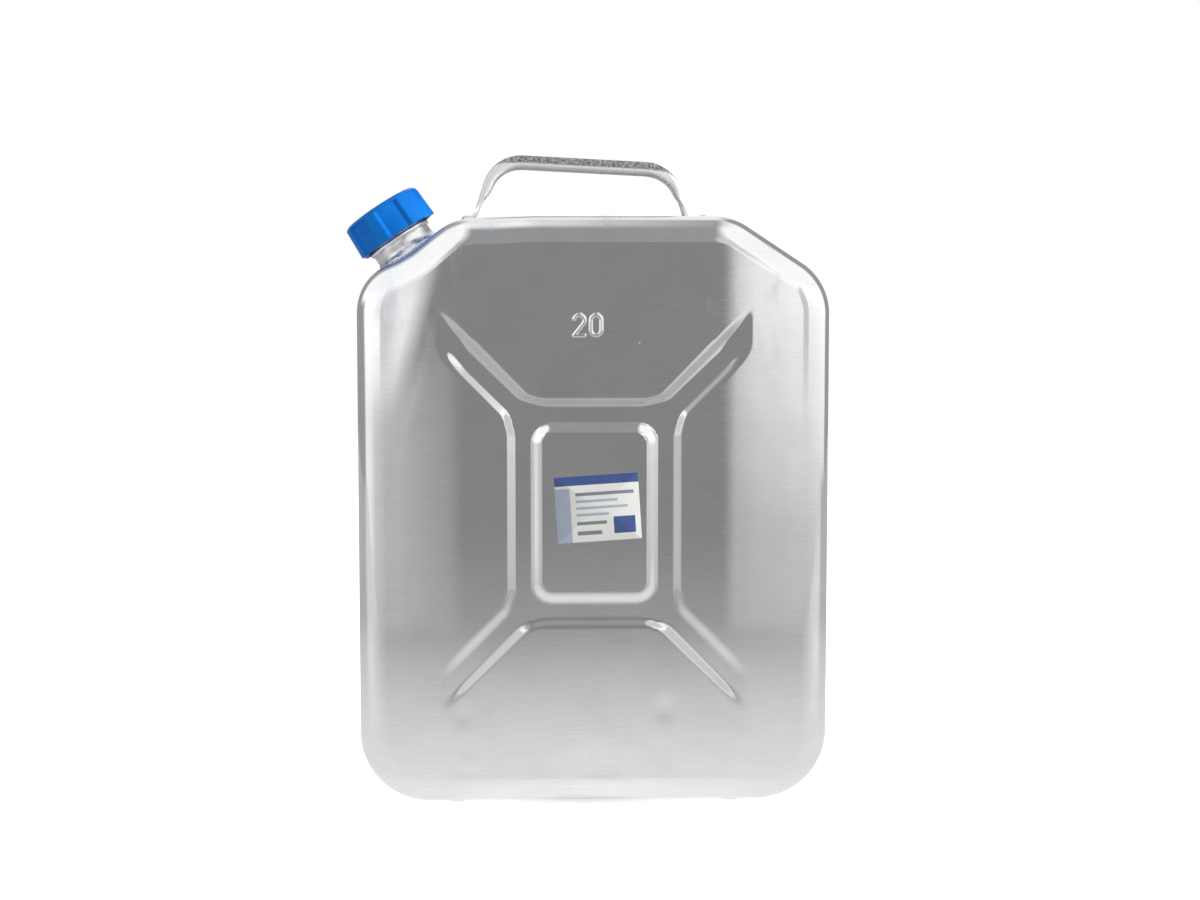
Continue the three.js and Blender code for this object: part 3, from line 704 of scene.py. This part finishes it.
def threadRidge(angle, s, shift):  # share of a ridge that climbs one pitch a turn, with sloping flanks
    phase = (s - shift - thread["pitch"] * angle / (2 * np.pi)) % thread["pitch"] - thread["pitch"] / 2
    ridge = np.clip((thread["half"] - np.abs(phase)) / thread["flank"], 0, 1)
    return ridge * smooth((s - thread["from"]) / 2) * smooth((thread["to"] - s) / 2)


def turnedRows(radius, s, angle):  # rows of points round the neck's axis
    radius, s = radius + 0 * angle, s + 0 * angle
    return onNeck(radius * np.cos(angle), radius * np.sin(angle), s)


def makeNeck():
    angle = np.linspace(0, 2 * np.pi, neck["around"], endpoint=False)[None, :]
    low, high, edge = neck["collarFrom"], neck["collarTo"], neck["edge"]
    wall, collar, bore, rim = neck["radius"], neck["collar"], neck["bore"], neck["rise"]
    profile = [(wall, -neck["sunk"]), (wall, 4), (wall, 8), (wall, low - 0.5), (wall - 0.25, low - 0.1),
               (collar - edge, low), (collar, low + edge), (collar, high - edge), (collar - edge, high),
               (wall, high + 0.1)]
    profile += [(wall, s) for s in np.arange(neck["screwFrom"], rim - 1.4, neck["screwStep"])]
    profile += [(wall, rim - 0.9), (wall - 0.25, rim - 0.3), (wall - 0.9, rim), (bore + 0.6, rim),
                (bore, rim - 0.6), (bore, 24), (bore, 12), (bore, -neck["sunk"])]
    profile = np.array(profile)
    radius, s = profile[:, :1], profile[:, 1:]
    isScrew = ((s > neck["screwFrom"] - 0.4) & (radius > bore + 2)).astype(float)
    radius = radius + isScrew * thread["depth"] * threadRidge(angle, s, 0.0)
    rows = turnedRows(radius, s, angle)
    shape = rows.reshape(-1, 3), gridQuads(len(profile), neck["around"], True, True), noTriangles
    return addPiece("fillerNeck", shape, "can", ["filler_neck"], neckFinish, sharp=50)


makeNeck()


# Neck weld: a smooth, slightly lumpy fillet between sleeve and shoulder
neckBead = {"width": 3.4, "height": 4.9, "lump": 0.24, "fineness": 0.42, "around": 300, "rows": 19}


def makeNeckWeld():
    angle = np.linspace(0, 2 * np.pi, neckBead["around"], endpoint=False)[None, :]
    q = np.linspace(0, 1, neckBead["rows"])[:, None]
    width = (1 - q) ** 1.55  # from the foot on the shoulder to the upper edge on the sleeve
    rise = q ** 1.1
    radius = neck["radius"] + 0.1 + neckBead["width"] * width + 0 * angle
    climb = neckBead["height"] * rise
    around = np.stack([radius * np.cos(angle), radius * np.sin(angle), climb + 0 * angle], -1)
    lump = neckBead["lump"] * waves(around * neckBead["fineness"], 5, 3)
    lump = lump * np.sin(np.pi * np.clip(q, 0.05, 0.97))
    radius = radius + 0.75 * lump
    slopeX = radius * np.cos(angle)
    arcStart = -(neckAlong - sideEnds[3])  # below this the shoulder bends down in its lower arc
    fall = np.maximum(arcStart - slopeX, 0) ** 2 / (2 * shell["shoulderRadius"])
    sunk = neckHollow(slopeX) * smooth((np.abs(radius * np.sin(angle)) - hollow["from"]) / hollow["over"])
    s = climb + 0.65 * lump + 0.35 * np.sin(5 * angle + 1) * q * (1 - 0.5 * q)
    s = np.where(q < 0.02, -0.6, s) - fall - sunk * (1 - rise)
    outer = onNeck(slopeX, radius * np.sin(angle), s)
    inner = turnedRows(neck["radius"] - 0.6, np.array([[5.4], [-0.6]]), angle)
    rows = np.concatenate([outer, inner])
    shape = rows.reshape(-1, 3), gridQuads(len(rows), neckBead["around"], True, True), noTriangles
    return addPiece("neckBead", shape, "can", ["neck_weld"], filletFinish)


makeNeckWeld()


# Screw cap: ribs round a domed blank, a threaded bore inside
capShape = {"radius": 33.0, "draft": 1.0, "bottom": 14.6, "top": 41.6, "bore": 27.0, "ceiling": 38.9,
            "rounding": 5.0, "dome": 1.2, "around": 364, "ribs": 7, "ribHeight": 2.7, "ribAngle": 18.0,
            "flank": 5.5, "turn": -105.0, "recessTop": 36.4, "recessOver": 1.7, "threadDepth": 1.9,
            "crown": (0.93, 0.84, 0.72, 0.56, 0.38, 0.18)}


def softMin(a, b, radius):  # the smaller of two, rounded where they meet
    return np.minimum(a, b) - np.maximum(radius - np.abs(a - b), 0) ** 2 / (4 * radius)


def makeCap():
    c = capShape
    angle = np.linspace(0, 2 * np.pi, c["around"], endpoint=False)[None, :]
    pitch = 360 / c["ribs"]
    off = np.abs((np.degrees(angle) - c["turn"] + pitch / 2) % pitch - pitch / 2)
    rib = smooth((c["ribAngle"] / 2 + c["flank"] / 2 - off) / c["flank"])
    low, shoulder = c["bottom"], c["top"] - c["dome"] - c["rounding"]
    full = c["radius"] - c["draft"]

    def outside(s):  # radius of ribs and flutes; the flutes run out below the rounding of the top
        blank = c["radius"] - c["draft"] * min((s - low) / (shoulder - low), 1)
        return blank - c["ribHeight"] * (1 - rib) * (1 - smooth((s - c["recessTop"]) / c["recessOver"]))

    # radius and height of each row: ceiling, threaded bore, lower edge, ribs, rounding, crown
    rows = [(9, c["ceiling"]), (18, c["ceiling"]), (c["bore"] - 0.5, c["ceiling"])]
    for s in np.arange(low + 1.2, c["ceiling"] - 0.6, 0.5)[::-1]:
        rows.append((c["bore"] - c["threadDepth"] * threadRidge(angle, s, thread["pitch"] / 2), s))
    rows += [(c["bore"] + 0.1, low + 0.5), (c["bore"] + 0.6, low), (outside(low) - 0.7, low),
             (outside(low) - 0.2, low + 0.25)]
    rows += [(outside(s), s) for s in np.linspace(low + 0.9, shoulder, 9)]
    for bend in np.radians(np.linspace(8, 90, 13)):
        blank = full - c["rounding"] * (1 - math.cos(bend))
        high = shoulder + c["rounding"] * math.sin(bend)
        rows.append((softMin(outside(high), blank, 0.5), high))
    crown = full - c["rounding"]
    rows += [(crown * share, c["top"] - c["dome"] * share ** 2) for share in c["crown"]]
    rows = np.concatenate([turnedRows(radius, s, angle) for radius, s in rows])
    return addPiece("screwCap", solidRows(rows), "cap", ["cap"], capFinish, sharp=60)


makeCap()


# Sealing disc with the ring that the neck's rim has pressed into it
disc = {"radius": 26.6, "bottom": 36.1, "top": 38.6, "around": 120, "dented": 0.2, "edge": 0.4}


def makeGasket():
    angle = np.linspace(0, 2 * np.pi, disc["around"], endpoint=False)[None, :]
    wide, low, high, edge = disc["radius"], disc["bottom"], disc["top"], disc["edge"]
    dented = low + disc["dented"]
    profile = np.array([(9, low), (20.2, low), (21, dented), (23.6, dented), (24.4, low), (wide - edge, low),
                        (wide, low + edge), (wide, high - edge), (wide - edge, high), (12, high)])
    rows = turnedRows(profile[:, :1], profile[:, 1:], angle)
    return addPiece("sealDisc", solidRows(rows), "seal", ["cap_gasket"], rubberFinish)


makeGasket()


# Handle: a strap bent over two legs, its edges turned down into curled flanges along the grip
handle = {
    "line": [(-95, 442), (-90.6, 442), (-75.5, 489.4), (63.5, 482.4), (72.5, 442), (84, 442)],
    "radii": [4, 30, 30, 4], "halfWidth": 13.0, "gauge": 1.9, "flange": 9.5, "legFlange": (5.8, 3.4),
    "taper": 62, "footRun": (22, 18), "corner": 3.0, "lip": 2.6, "curl": 70, "curlOver": 3.5, "step": 1.3,
    # dark band: its height on the legs and what the grip adds, where each runs out, the depth of its pebbles
    "band": (0.9, 5.4), "gripEnd": (3, 24), "mottleEnd": (24, 14), "pebble": 0.16,
}


def stripSection(flange):
    # outer line of half a strip: level, then a quarter turn, then straight down, then a lip curled inwards
    h = handle
    bend = np.arccos(np.clip(1 - flange / h["corner"], 0, 1))
    spare = np.maximum(flange - h["corner"], 0)
    curl = np.radians(h["curl"]) * smooth(spare / h["curlOver"])
    lip = np.minimum(h["lip"] * np.sin(curl), spare)
    level = h["halfWidth"] - h["corner"] * np.sin(bend)
    parts = [("level", np.linspace(0, 1, 9)), ("bend", np.linspace(0, 1, 9)[1:]),
             ("drop", np.linspace(0, 1, 5)[1:]), ("curl", np.linspace(0, 1, 8)[1:])]
    across, down, facing = [], [], []
    for kind, t in parts:
        t = t[None, :]
        if kind == "level":
            piece = level * t, 0 * level * t, 0 * level * t
        elif kind == "bend":
            a = bend * t
            piece = level + h["corner"] * np.sin(a), h["corner"] * (1 - np.cos(a)), a
        elif kind == "drop":
            length = spare - lip
            piece = (level + h["corner"] * np.sin(bend) + length * t * np.cos(bend),
                     h["corner"] * (1 - np.cos(bend)) + length * t * np.sin(bend), bend + 0 * t)
        else:
            a = curl * t
            piece = (level + h["corner"] * np.sin(bend) - h["lip"] * (1 - np.cos(a)),
                     h["corner"] * (1 - np.cos(bend)) + spare - lip + h["lip"] * np.sin(a), bend + a)
        for store, value in zip((across, down, facing), piece):
            store.append(value)
    return (np.concatenate(store, 1) for store in (across, down, facing))


def bothHalves(half, sign):  # the rear half mirrored from the front half, times a sign, then the front half
    return np.concatenate([sign * half[:, :0:-1], half], 1)


def makeHandle():
    h = handle
    runs = roundPath([(x + centreX, z) for x, z in h["line"]], h["radii"])
    ends = np.cumsum([run[2] for run in runs])
    s = np.unique(np.concatenate([np.linspace(a, b, max(4, int((b - a) / h["step"]) + 1))
                                  for a, b in zip(np.append(0, ends[:-1]), ends)]))
    line, heading = walkPath(runs, s)
    inward = np.stack([np.sin(heading), -np.cos(heading)], -1)
    away = np.maximum(np.maximum(ends[3] - s, s - ends[4]), 0)
    legFlange = np.where(s < ends[3], *h["legFlange"])
    atFeet = smooth((s - ends[1]) / h["footRun"][0]) * smooth((ends[6] - s) / h["footRun"][1])
    flange = ((legFlange + (h["flange"] - legFlange) * (1 - smooth(away / h["taper"]))) * atFeet)[:, None]
    across, down, facing = stripSection(flange)
    onGrip = 1 - smooth((away - h["gripEnd"][0]) / h["gripEnd"][1])[:, None]
    band = h["band"][0] + h["band"][1] * onGrip  # height of the dark band, a thin line on the legs
    onLegs = 1 - smooth((away - h["mottleEnd"][0]) / h["mottleEnd"][1])[:, None]
    mottle = onLegs * smooth((facing - 0.2) / 0.4) * smooth((band - down) / 0.8)
    mottle = np.maximum(mottle, 0.75 * onGrip * smooth((across - 8.5) / 2.5) * (facing < 0.3))
    place = np.stack([s[:, None] + 0 * across, across, down], -1)
    dip = mottle * h["pebble"] * (1 + waves(place * 1.5, 21, 2))
    outerDown = down + dip * np.cos(np.minimum(facing, 1.5))
    outerAcross = across - dip * np.sin(np.minimum(facing, 1.5))
    innerDown = down + h["gauge"] * np.cos(facing)
    innerAcross = across - h["gauge"] * np.sin(facing)
    # closed section: rear edge over the top to the front edge, then back on the inner side
    wide = np.concatenate([bothHalves(outerAcross, -1), bothHalves(innerAcross, -1)[:, ::-1]], 1)
    deep = np.concatenate([bothHalves(outerDown, 1), bothHalves(innerDown, 1)[:, ::-1]], 1)
    mottled = bothHalves(mottle, 1)
    mask = np.concatenate([mottled, 0 * mottled], 1)
    lane = bothHalves(across + down, -1) * 0.001  # way round the strip in metres
    lane = np.concatenate([lane, lane[:, ::-1]], 1)
    x = line[:, :1] + inward[:, :1] * deep
    z = line[:, 1:] + inward[:, 1:] * deep
    rows = np.stack([x, midY - wide, z], -1)
    count, around = rows.shape[:2]
    k = np.arange(around // 2 - 1)
    end = np.stack([k, k + 1, around - 2 - k, around - 1 - k], -1)
    sides = gridQuads(count, around, aroundColumns=True)
    quads = np.concatenate([sides, end[:, ::-1], end + (count - 1) * around])
    shape = rows.reshape(-1, 3), quads, noTriangles
    masks = {"mottle": mask.ravel(), "lane": lane.ravel()}
    return addPiece("carryHandle", shape, "can", ["handle"], strapFinish, sharp=55, masks=masks)


makeHandle()


# End welds of the handle's feet: a row of run-together drops
drops = {"count": 5, "rows": 12, "around": 96, "rough": 0.22, "bendFrom": 88.5}


def makeFootWeld(name, node, seed):
    low, high = boxMm(node)
    middle, reach = (low + high) / 2, (high - low) / 2
    share = np.linspace(0.06, 1, drops["rows"])[:, None]
    angle = np.linspace(0, 2 * np.pi, drops["around"], endpoint=False)[None, :]
    wave = np.cos(2 * np.pi * drops["count"] * share * np.sin(angle) / 2 + np.pi * (drops["count"] - 1))
    x = share * np.sign(np.cos(angle)) * np.abs(np.cos(angle)) ** 0.8 * reach[0] * (0.93 + 0.07 * wave)
    y = share * np.sign(np.sin(angle)) * np.abs(np.sin(angle)) ** 0.8 * reach[1]
    dome = np.sqrt(np.clip(1 - share ** 2.4, 0, 1))
    lump = 0.86 + 0.14 * wave + drops["rough"] * waves(np.stack([x, y], -1) * 0.7, seed, 3) * dome
    z = bodyTop - 0.4 + np.minimum((high[2] - bodyTop + 0.3) * dome * lump, high[2] - bodyTop + 0.38)
    beyond = np.maximum(np.abs(middle[0] + x - centreX) - drops["bendFrom"], 0)
    z = z - beyond ** 2 / (2 * shell["shoulderRadius"])
    rows = np.concatenate([np.stack([middle[0] + x, middle[1] + y, z], -1),
                           np.stack([middle[0] + 0.7 * x[-1:], middle[1] + 0.7 * y[-1:], z[-1:] - 0.5], -1)])
    return addPiece(name, solidRows(rows), "can", [node], weldFinish)


makeFootWeld("footBeadLeft", "handle_weld_left", 31)
makeFootWeld("footBeadRight", "handle_weld_right", 32)


# Feet: low pressed strips with round edges
foot = {"corner": 2.4, "around": 72, "crisp": 40, "endShare": 0.7,
        # height over the floor, and what each level is narrower by
        "levels": [(0.0, 3.4), (0.05, 2.8), (0.45, 2.0), (1.1, 1.3), (2.2, 0.5), (3.4, 0.0)]}


def roundedLoop(values, halfX, halfY):  # rectangle with round corners, as two coordinates
    angle = np.linspace(0, 2 * np.pi, values["around"], endpoint=False)
    corner, crisp = values["corner"], values["crisp"]
    x = np.clip(np.cos(angle) * crisp, -1, 1) * (halfX - corner) + corner * np.cos(angle)
    y = np.clip(np.sin(angle) * crisp, -1, 1) * (halfY - corner) + corner * np.sin(angle)
    return x, y


def makeFoot(name, node):  # rounded rectangles stacked from the floor to the body
    low, high = boxMm(node)
    middle, reach = (low + high) / 2, (high - low) / 2
    rows = []
    for lift, narrow in foot["levels"]:
        x, y = roundedLoop(foot, reach[0] - narrow, reach[1] - foot["endShare"] * narrow)
        rows.append(np.stack([middle[0] + x, middle[1] + y, low[2] + lift + 0 * x], -1))
    shape = solidRows(np.stack(rows))
    return addPiece(name, shape, "can", [node], sheetFinish, uv=shape[0][:, :2])


for end in ("front", "rear"):
    for hand in ("left", "right"):
        makeFoot("foot" + end.capitalize() + hand.capitalize(), "foot_" + end + "_" + hand)


# Label: thin tilted sheet on the raised panel
label = {"width": 62.0, "height": 49.0, "x": 2.5, "z": 4.0, "tilt": 3.7, "corner": 0.8, "around": 160,
         "crisp": 60}


def makeLabel():  # rounded rectangle from the panel to the front of the paper, its edge a little worn
    low, high = boxMm("label")
    tilt = math.radians(label["tilt"])
    rows, flats = [], []
    for y, less in ((high[1] + 0.1, 0.0), (low[1] + 0.06, 0.0), (low[1], 0.1)):
        u, v = roundedLoop(label, label["width"] / 2 - less, label["height"] / 2 - less)
        rows.append(np.stack([centreX + label["x"] + u * math.cos(tilt) - v * math.sin(tilt), y + 0 * u,
                              bodyMiddle + label["z"] + u * math.sin(tilt) + v * math.cos(tilt)], -1))
        flats.append(np.stack([u, v], -1))
    shape = solidRows(np.stack(rows))
    uv = np.concatenate([np.stack(flats).reshape(-1, 2), np.zeros((2, 2))])
    return addPiece("plainLabel", shape, "can", ["label"], paperFinish, uv=uv, sharp=40)


makeLabel()


# Floor, studio surroundings and camera
floorSize = {
    "left": -3.0, "right": 3.0, "front": -0.865, "rear": 4.0, "columns": 13, "rows": 11,
    "colour": (0.86, 0.86, 0.86, 1), "lift": 0.5,
    # painted light seen in the metal: for glossy rays the floor glows, bright near the can and fading
    # further off, with a painted shadow under the can and painted light beside it; two distances from the
    # can, then the glow at each
    "mirrored": (0.03, 0.03, 0.03, 1), "sideways": 0.75, "paintedGlow": (0.2, 0.8, 0.8, 0.36),
    "near": (0.09, 0.17, 0.18, 0), "under": (0.034, 0.068, 0.32, 0.98),
    "beside": (0.1, 0.8, 0, 0.36), "besideFront": (-0.3, -0.05, 1, 0.3),
}


def makeFloor():  # level sheet whose camera view is lifted to white, so that only the shadow shows
    x = np.linspace(floorSize["left"], floorSize["right"], floorSize["columns"])
    y = np.linspace(floorSize["front"], floorSize["rear"], floorSize["rows"])
    gridY, gridX = np.meshgrid(y, x, indexing="ij")
    points = np.stack([gridX, gridY, 0 * gridX], -1).reshape(-1, 3)
    mesh = bpy.data.meshes.new("floor")
    mesh.from_pydata(points.tolist(), [], gridQuads(len(y), len(x)).tolist())
    tree, shader, material = newMaterial("paleFloor")
    shader.inputs["Roughness"].default_value = 0.9
    shader.inputs["Specular IOR Level"].default_value = 0.0
    path = addNode(tree, "ShaderNodeLightPath")
    seen, mirrored = path.outputs["Is Camera Ray"], path.outputs["Is Glossy Ray"]
    feed(tree, shader, colour=tint(tree, mirrored, floorSize["colour"], floorSize["mirrored"]))
    axes = addNode(tree, "ShaderNodeSeparateXYZ", {0: objectPlace(tree)})
    sideways = times(tree, axes.outputs[0], floorSize["sideways"])
    away = plus(tree, times(tree, sideways, sideways), times(tree, axes.outputs[1], axes.outputs[1]))
    away = math2(tree, "SQRT", away)
    # painted light: for glossy rays the floor's colour is near black and an emission glow is painted on it,
    # brightest near the can and fading with distance, then cut down by a painted shadow right under the can
    # and lifted by painted light to the sides
    paintedGlow = plus(tree, spread(tree, away, *floorSize["paintedGlow"]), spread(tree, away, *floorSize["near"]))
    paintedGlow = math2(tree, "MINIMUM", paintedGlow, spread(tree, away, *floorSize["under"]))
    beside = spread(tree, math2(tree, "ABSOLUTE", axes.outputs[0]), *floorSize["beside"])
    beside = times(tree, beside, spread(tree, axes.outputs[1], *floorSize["besideFront"]))
    paintedGlow = times(tree, mirrored, plus(tree, paintedGlow, beside))
    shader.inputs["Emission Color"].default_value = (1, 1, 1, 1)
    lift = plus(tree, times(tree, seen, floorSize["lift"]), paintedGlow)
    tree.links.new(lift, shader.inputs["Emission Strength"])
    mesh.materials.append(material)
    floor = bpy.data.objects.new("floor", mesh)
    scene.collection.objects.link(floor)


# Studio: brightness by direction, azimuths in degrees from the front, heights as sines
studio = {
    "gap": 0.27, "gapRise": (0.08, 0.15, 0, 0.09),
    # from, to and rise of each step; the left is another one below the horizon
    "right": [(5.72, 5.96, 0.5), (6.0, 6.6, 0.2), (6.6, 8.5, 0.13), (20, 95, 0.2)],
    "left": [(5.6, 8.4, 0.74), (8.4, 15, 0.1), (15, 60, 0.16)],
    "leftLow": [(2.78, 3.0, 0.09), (3.0, 4.9, 0.18), (6, 16, 0.07), (16, 45, 0.09), (40, 60, 0.26),
                (65, 80, 0.1)],
    "horizon": (-0.045, 0.01), "lowDim": (-0.113, 0.012, 0.41, 0), "rightFrom": (5.5, 6.2),
    # dimmer patches: side, azimuths where each starts and stops, the slanted window it lies in (azimuth less
    # slant times height, 98 being open), heights over which it sets in, share taken off
    "patches": [(1.0, (5.6, 6.2), (15, 18), (-99, -98, 0.5, 2.5), (0.09, 0.13), 0.38),
                (-1.0, (5.6, 6.4), (13.5, 16.5), (-99, -98, 0.5, 2.5), (0.09, 0.13), 0.55),
                (-1.0, (8.6, 11.6), (21, 25), (8.0, 9.2, 98, 99), (-0.025, 0.02), 0.36),
                (1.0, (8.9, 10.8), (22.5, 26), (8.4, 9.6, 98, 99), (-0.05, 0.0), 0.38)],
    "low": (-0.22, -0.12, 1, 0), "lowLevel": 0.5,
    "upperFrom": (0.25, 0.5), "upper": (0.1, 0.25), "upperLevel": 1.15,
    "ceilingFrom": (0.85, 1.04), "ceiling": (-0.05, 0.1, 1.2, 0.4), "ceilingRight": (0.14, 0.5, 0, 0.7),
    "rear": 0.36, "rearFrom": (-0.36, -0.2, 1, 0), "rearLeft": (77, 88, 0, 1),
    "rearLeftHigh": (0.15, 0.3, 1, 0), "backdrop": (-0.02, 0.03), "straight": (0.12, 0.3, 1, 0),
    "slant": 58.0,
}
lamp = {"place": (1.6, -0.55, 0.95), "aim": (0, 0, 0.25), "size": 0.5, "power": 45}


def makeStudio():  # tall light walls left and right, a dim gap in front, dim low behind, a pale ceiling
    world = bpy.data.worlds.new("studio")
    scene.world = world
    world.use_nodes = True
    tree = world.node_tree
    tree.nodes.clear()
    direction = addNode(tree, "ShaderNodeTexCoord").outputs["Generated"]
    axes = addNode(tree, "ShaderNodeSeparateXYZ", {0: direction})
    sideways, high = axes.outputs[0], axes.outputs[2]
    ahead = times(tree, axes.outputs[1], -1.0)
    azimuth = times(tree, math2(tree, "ARCTAN2", sideways, ahead), 180 / math.pi)

    def mixed(share, a, b):  # from a to b by a share
        return addNode(tree, "ShaderNodeMix", {0: share, 2: a, 3: b}).outputs[0]

    gap = plus(tree, spread(tree, high, *studio["gapRise"]), studio["gap"])
    levels = []
    for name in ("leftLow", "left"):
        level = gap
        for sign, steps in ((1.0, studio["right"]), (-1.0, studio[name])):
            turned = times(tree, azimuth, sign)
            for start, stop, rise in steps:
                level = plus(tree, level, spread(tree, turned, start, stop, 0, rise))
        levels.append(level)
    level = mixed(spread(tree, high, *studio["horizon"], 0, 1, "SMOOTHSTEP"), *levels)
    dim = times(tree, spread(tree, azimuth, *studio["rightFrom"], 0, 1),
                spread(tree, high, *studio["lowDim"]))
    for sign, start, stop, window, rise, share in studio["patches"]:
        turned = times(tree, azimuth, sign)
        offset = math2(tree, "SUBTRACT", turned, times(tree, high, studio["slant"]))
        patch = times(tree, spread(tree, turned, *start, 0, 1), spread(tree, turned, *stop, 1, 0),
                      spread(tree, offset, *window[:2], 0, 1), spread(tree, offset, *window[2:], 1, 0),
                      spread(tree, high, *rise, 0, 1), share)
        dim = plus(tree, dim, patch)
    level = times(tree, level, math2(tree, "SUBTRACT", 1.0, dim))
    level = mixed(spread(tree, high, *studio["low"]), level, studio["lowLevel"])
    aside = math2(tree, "ABSOLUTE", sideways)
    upper = mixed(spread(tree, aside, *studio["upper"], 0, 1), gap, studio["upperLevel"])
    level = mixed(spread(tree, high, *studio["upperFrom"], 0, 1, "SMOOTHSTEP"), level, upper)
    backdrop = spread(tree, high, *studio["backdrop"], 0, 1)
    backdrop = times(tree, backdrop, spread(tree, aside, *studio["straight"]))
    rear = mixed(backdrop, studio["rear"], 1.0)
    rearLeft = spread(tree, times(tree, azimuth, -1.0), *studio["rearLeft"])
    rearLeft = times(tree, rearLeft, spread(tree, high, *studio["rearLeftHigh"]))
    behind = math2(tree, "MAXIMUM", spread(tree, ahead, *studio["rearFrom"]), rearLeft)
    level = mixed(behind, level, rear)
    ceiling = spread(tree, sideways, *studio["ceiling"])
    ceiling = plus(tree, ceiling, spread(tree, sideways, *studio["ceilingRight"]))
    level = mixed(spread(tree, high, *studio["ceilingFrom"], 0, 1, "SMOOTHSTEP"), level, ceiling)
    strength = mixed(addNode(tree, "ShaderNodeLightPath").outputs["Is Camera Ray"], level, 1.0)
    light = addNode(tree, "ShaderNodeBackground", {"Color": (1, 1, 1, 1), "Strength": strength}).outputs[0]
    addNode(tree, "ShaderNodeOutputWorld", {"Surface": light})
    data = bpy.data.lights.new("softLamp", "AREA")
    data.size, data.energy = lamp["size"], lamp["power"]
    softLamp = bpy.data.objects.new("softLamp", data)
    softLamp.location = lamp["place"]
    toCan = mathutils.Vector(lamp["aim"]) - softLamp.location
    softLamp.rotation_euler = toCan.to_track_quat("-Z", "Y").to_euler()
    softLamp.visible_glossy = False  # shades the plastic and the paper, is not mirrored in the metal
    scene.collection.objects.link(softLamp)


view = {"place": (-0.0294, -1.4, 0.3651), "down": 4.18, "right": 1.69, "lens": 54.33, "sensor": 36}


def makeCamera():
    data = bpy.data.cameras.new("photoCamera")
    data.sensor_width = view["sensor"]
    data.lens = view["lens"]
    camera = bpy.data.objects.new("photoCamera", data)
    camera.location = view["place"]
    camera.rotation_euler = (math.radians(90 - view["down"]), 0, math.radians(-view["right"]))
    scene.collection.objects.link(camera)
    scene.camera = camera


makeFloor()
makeStudio()
makeCamera()
print("floor, studio and camera made")
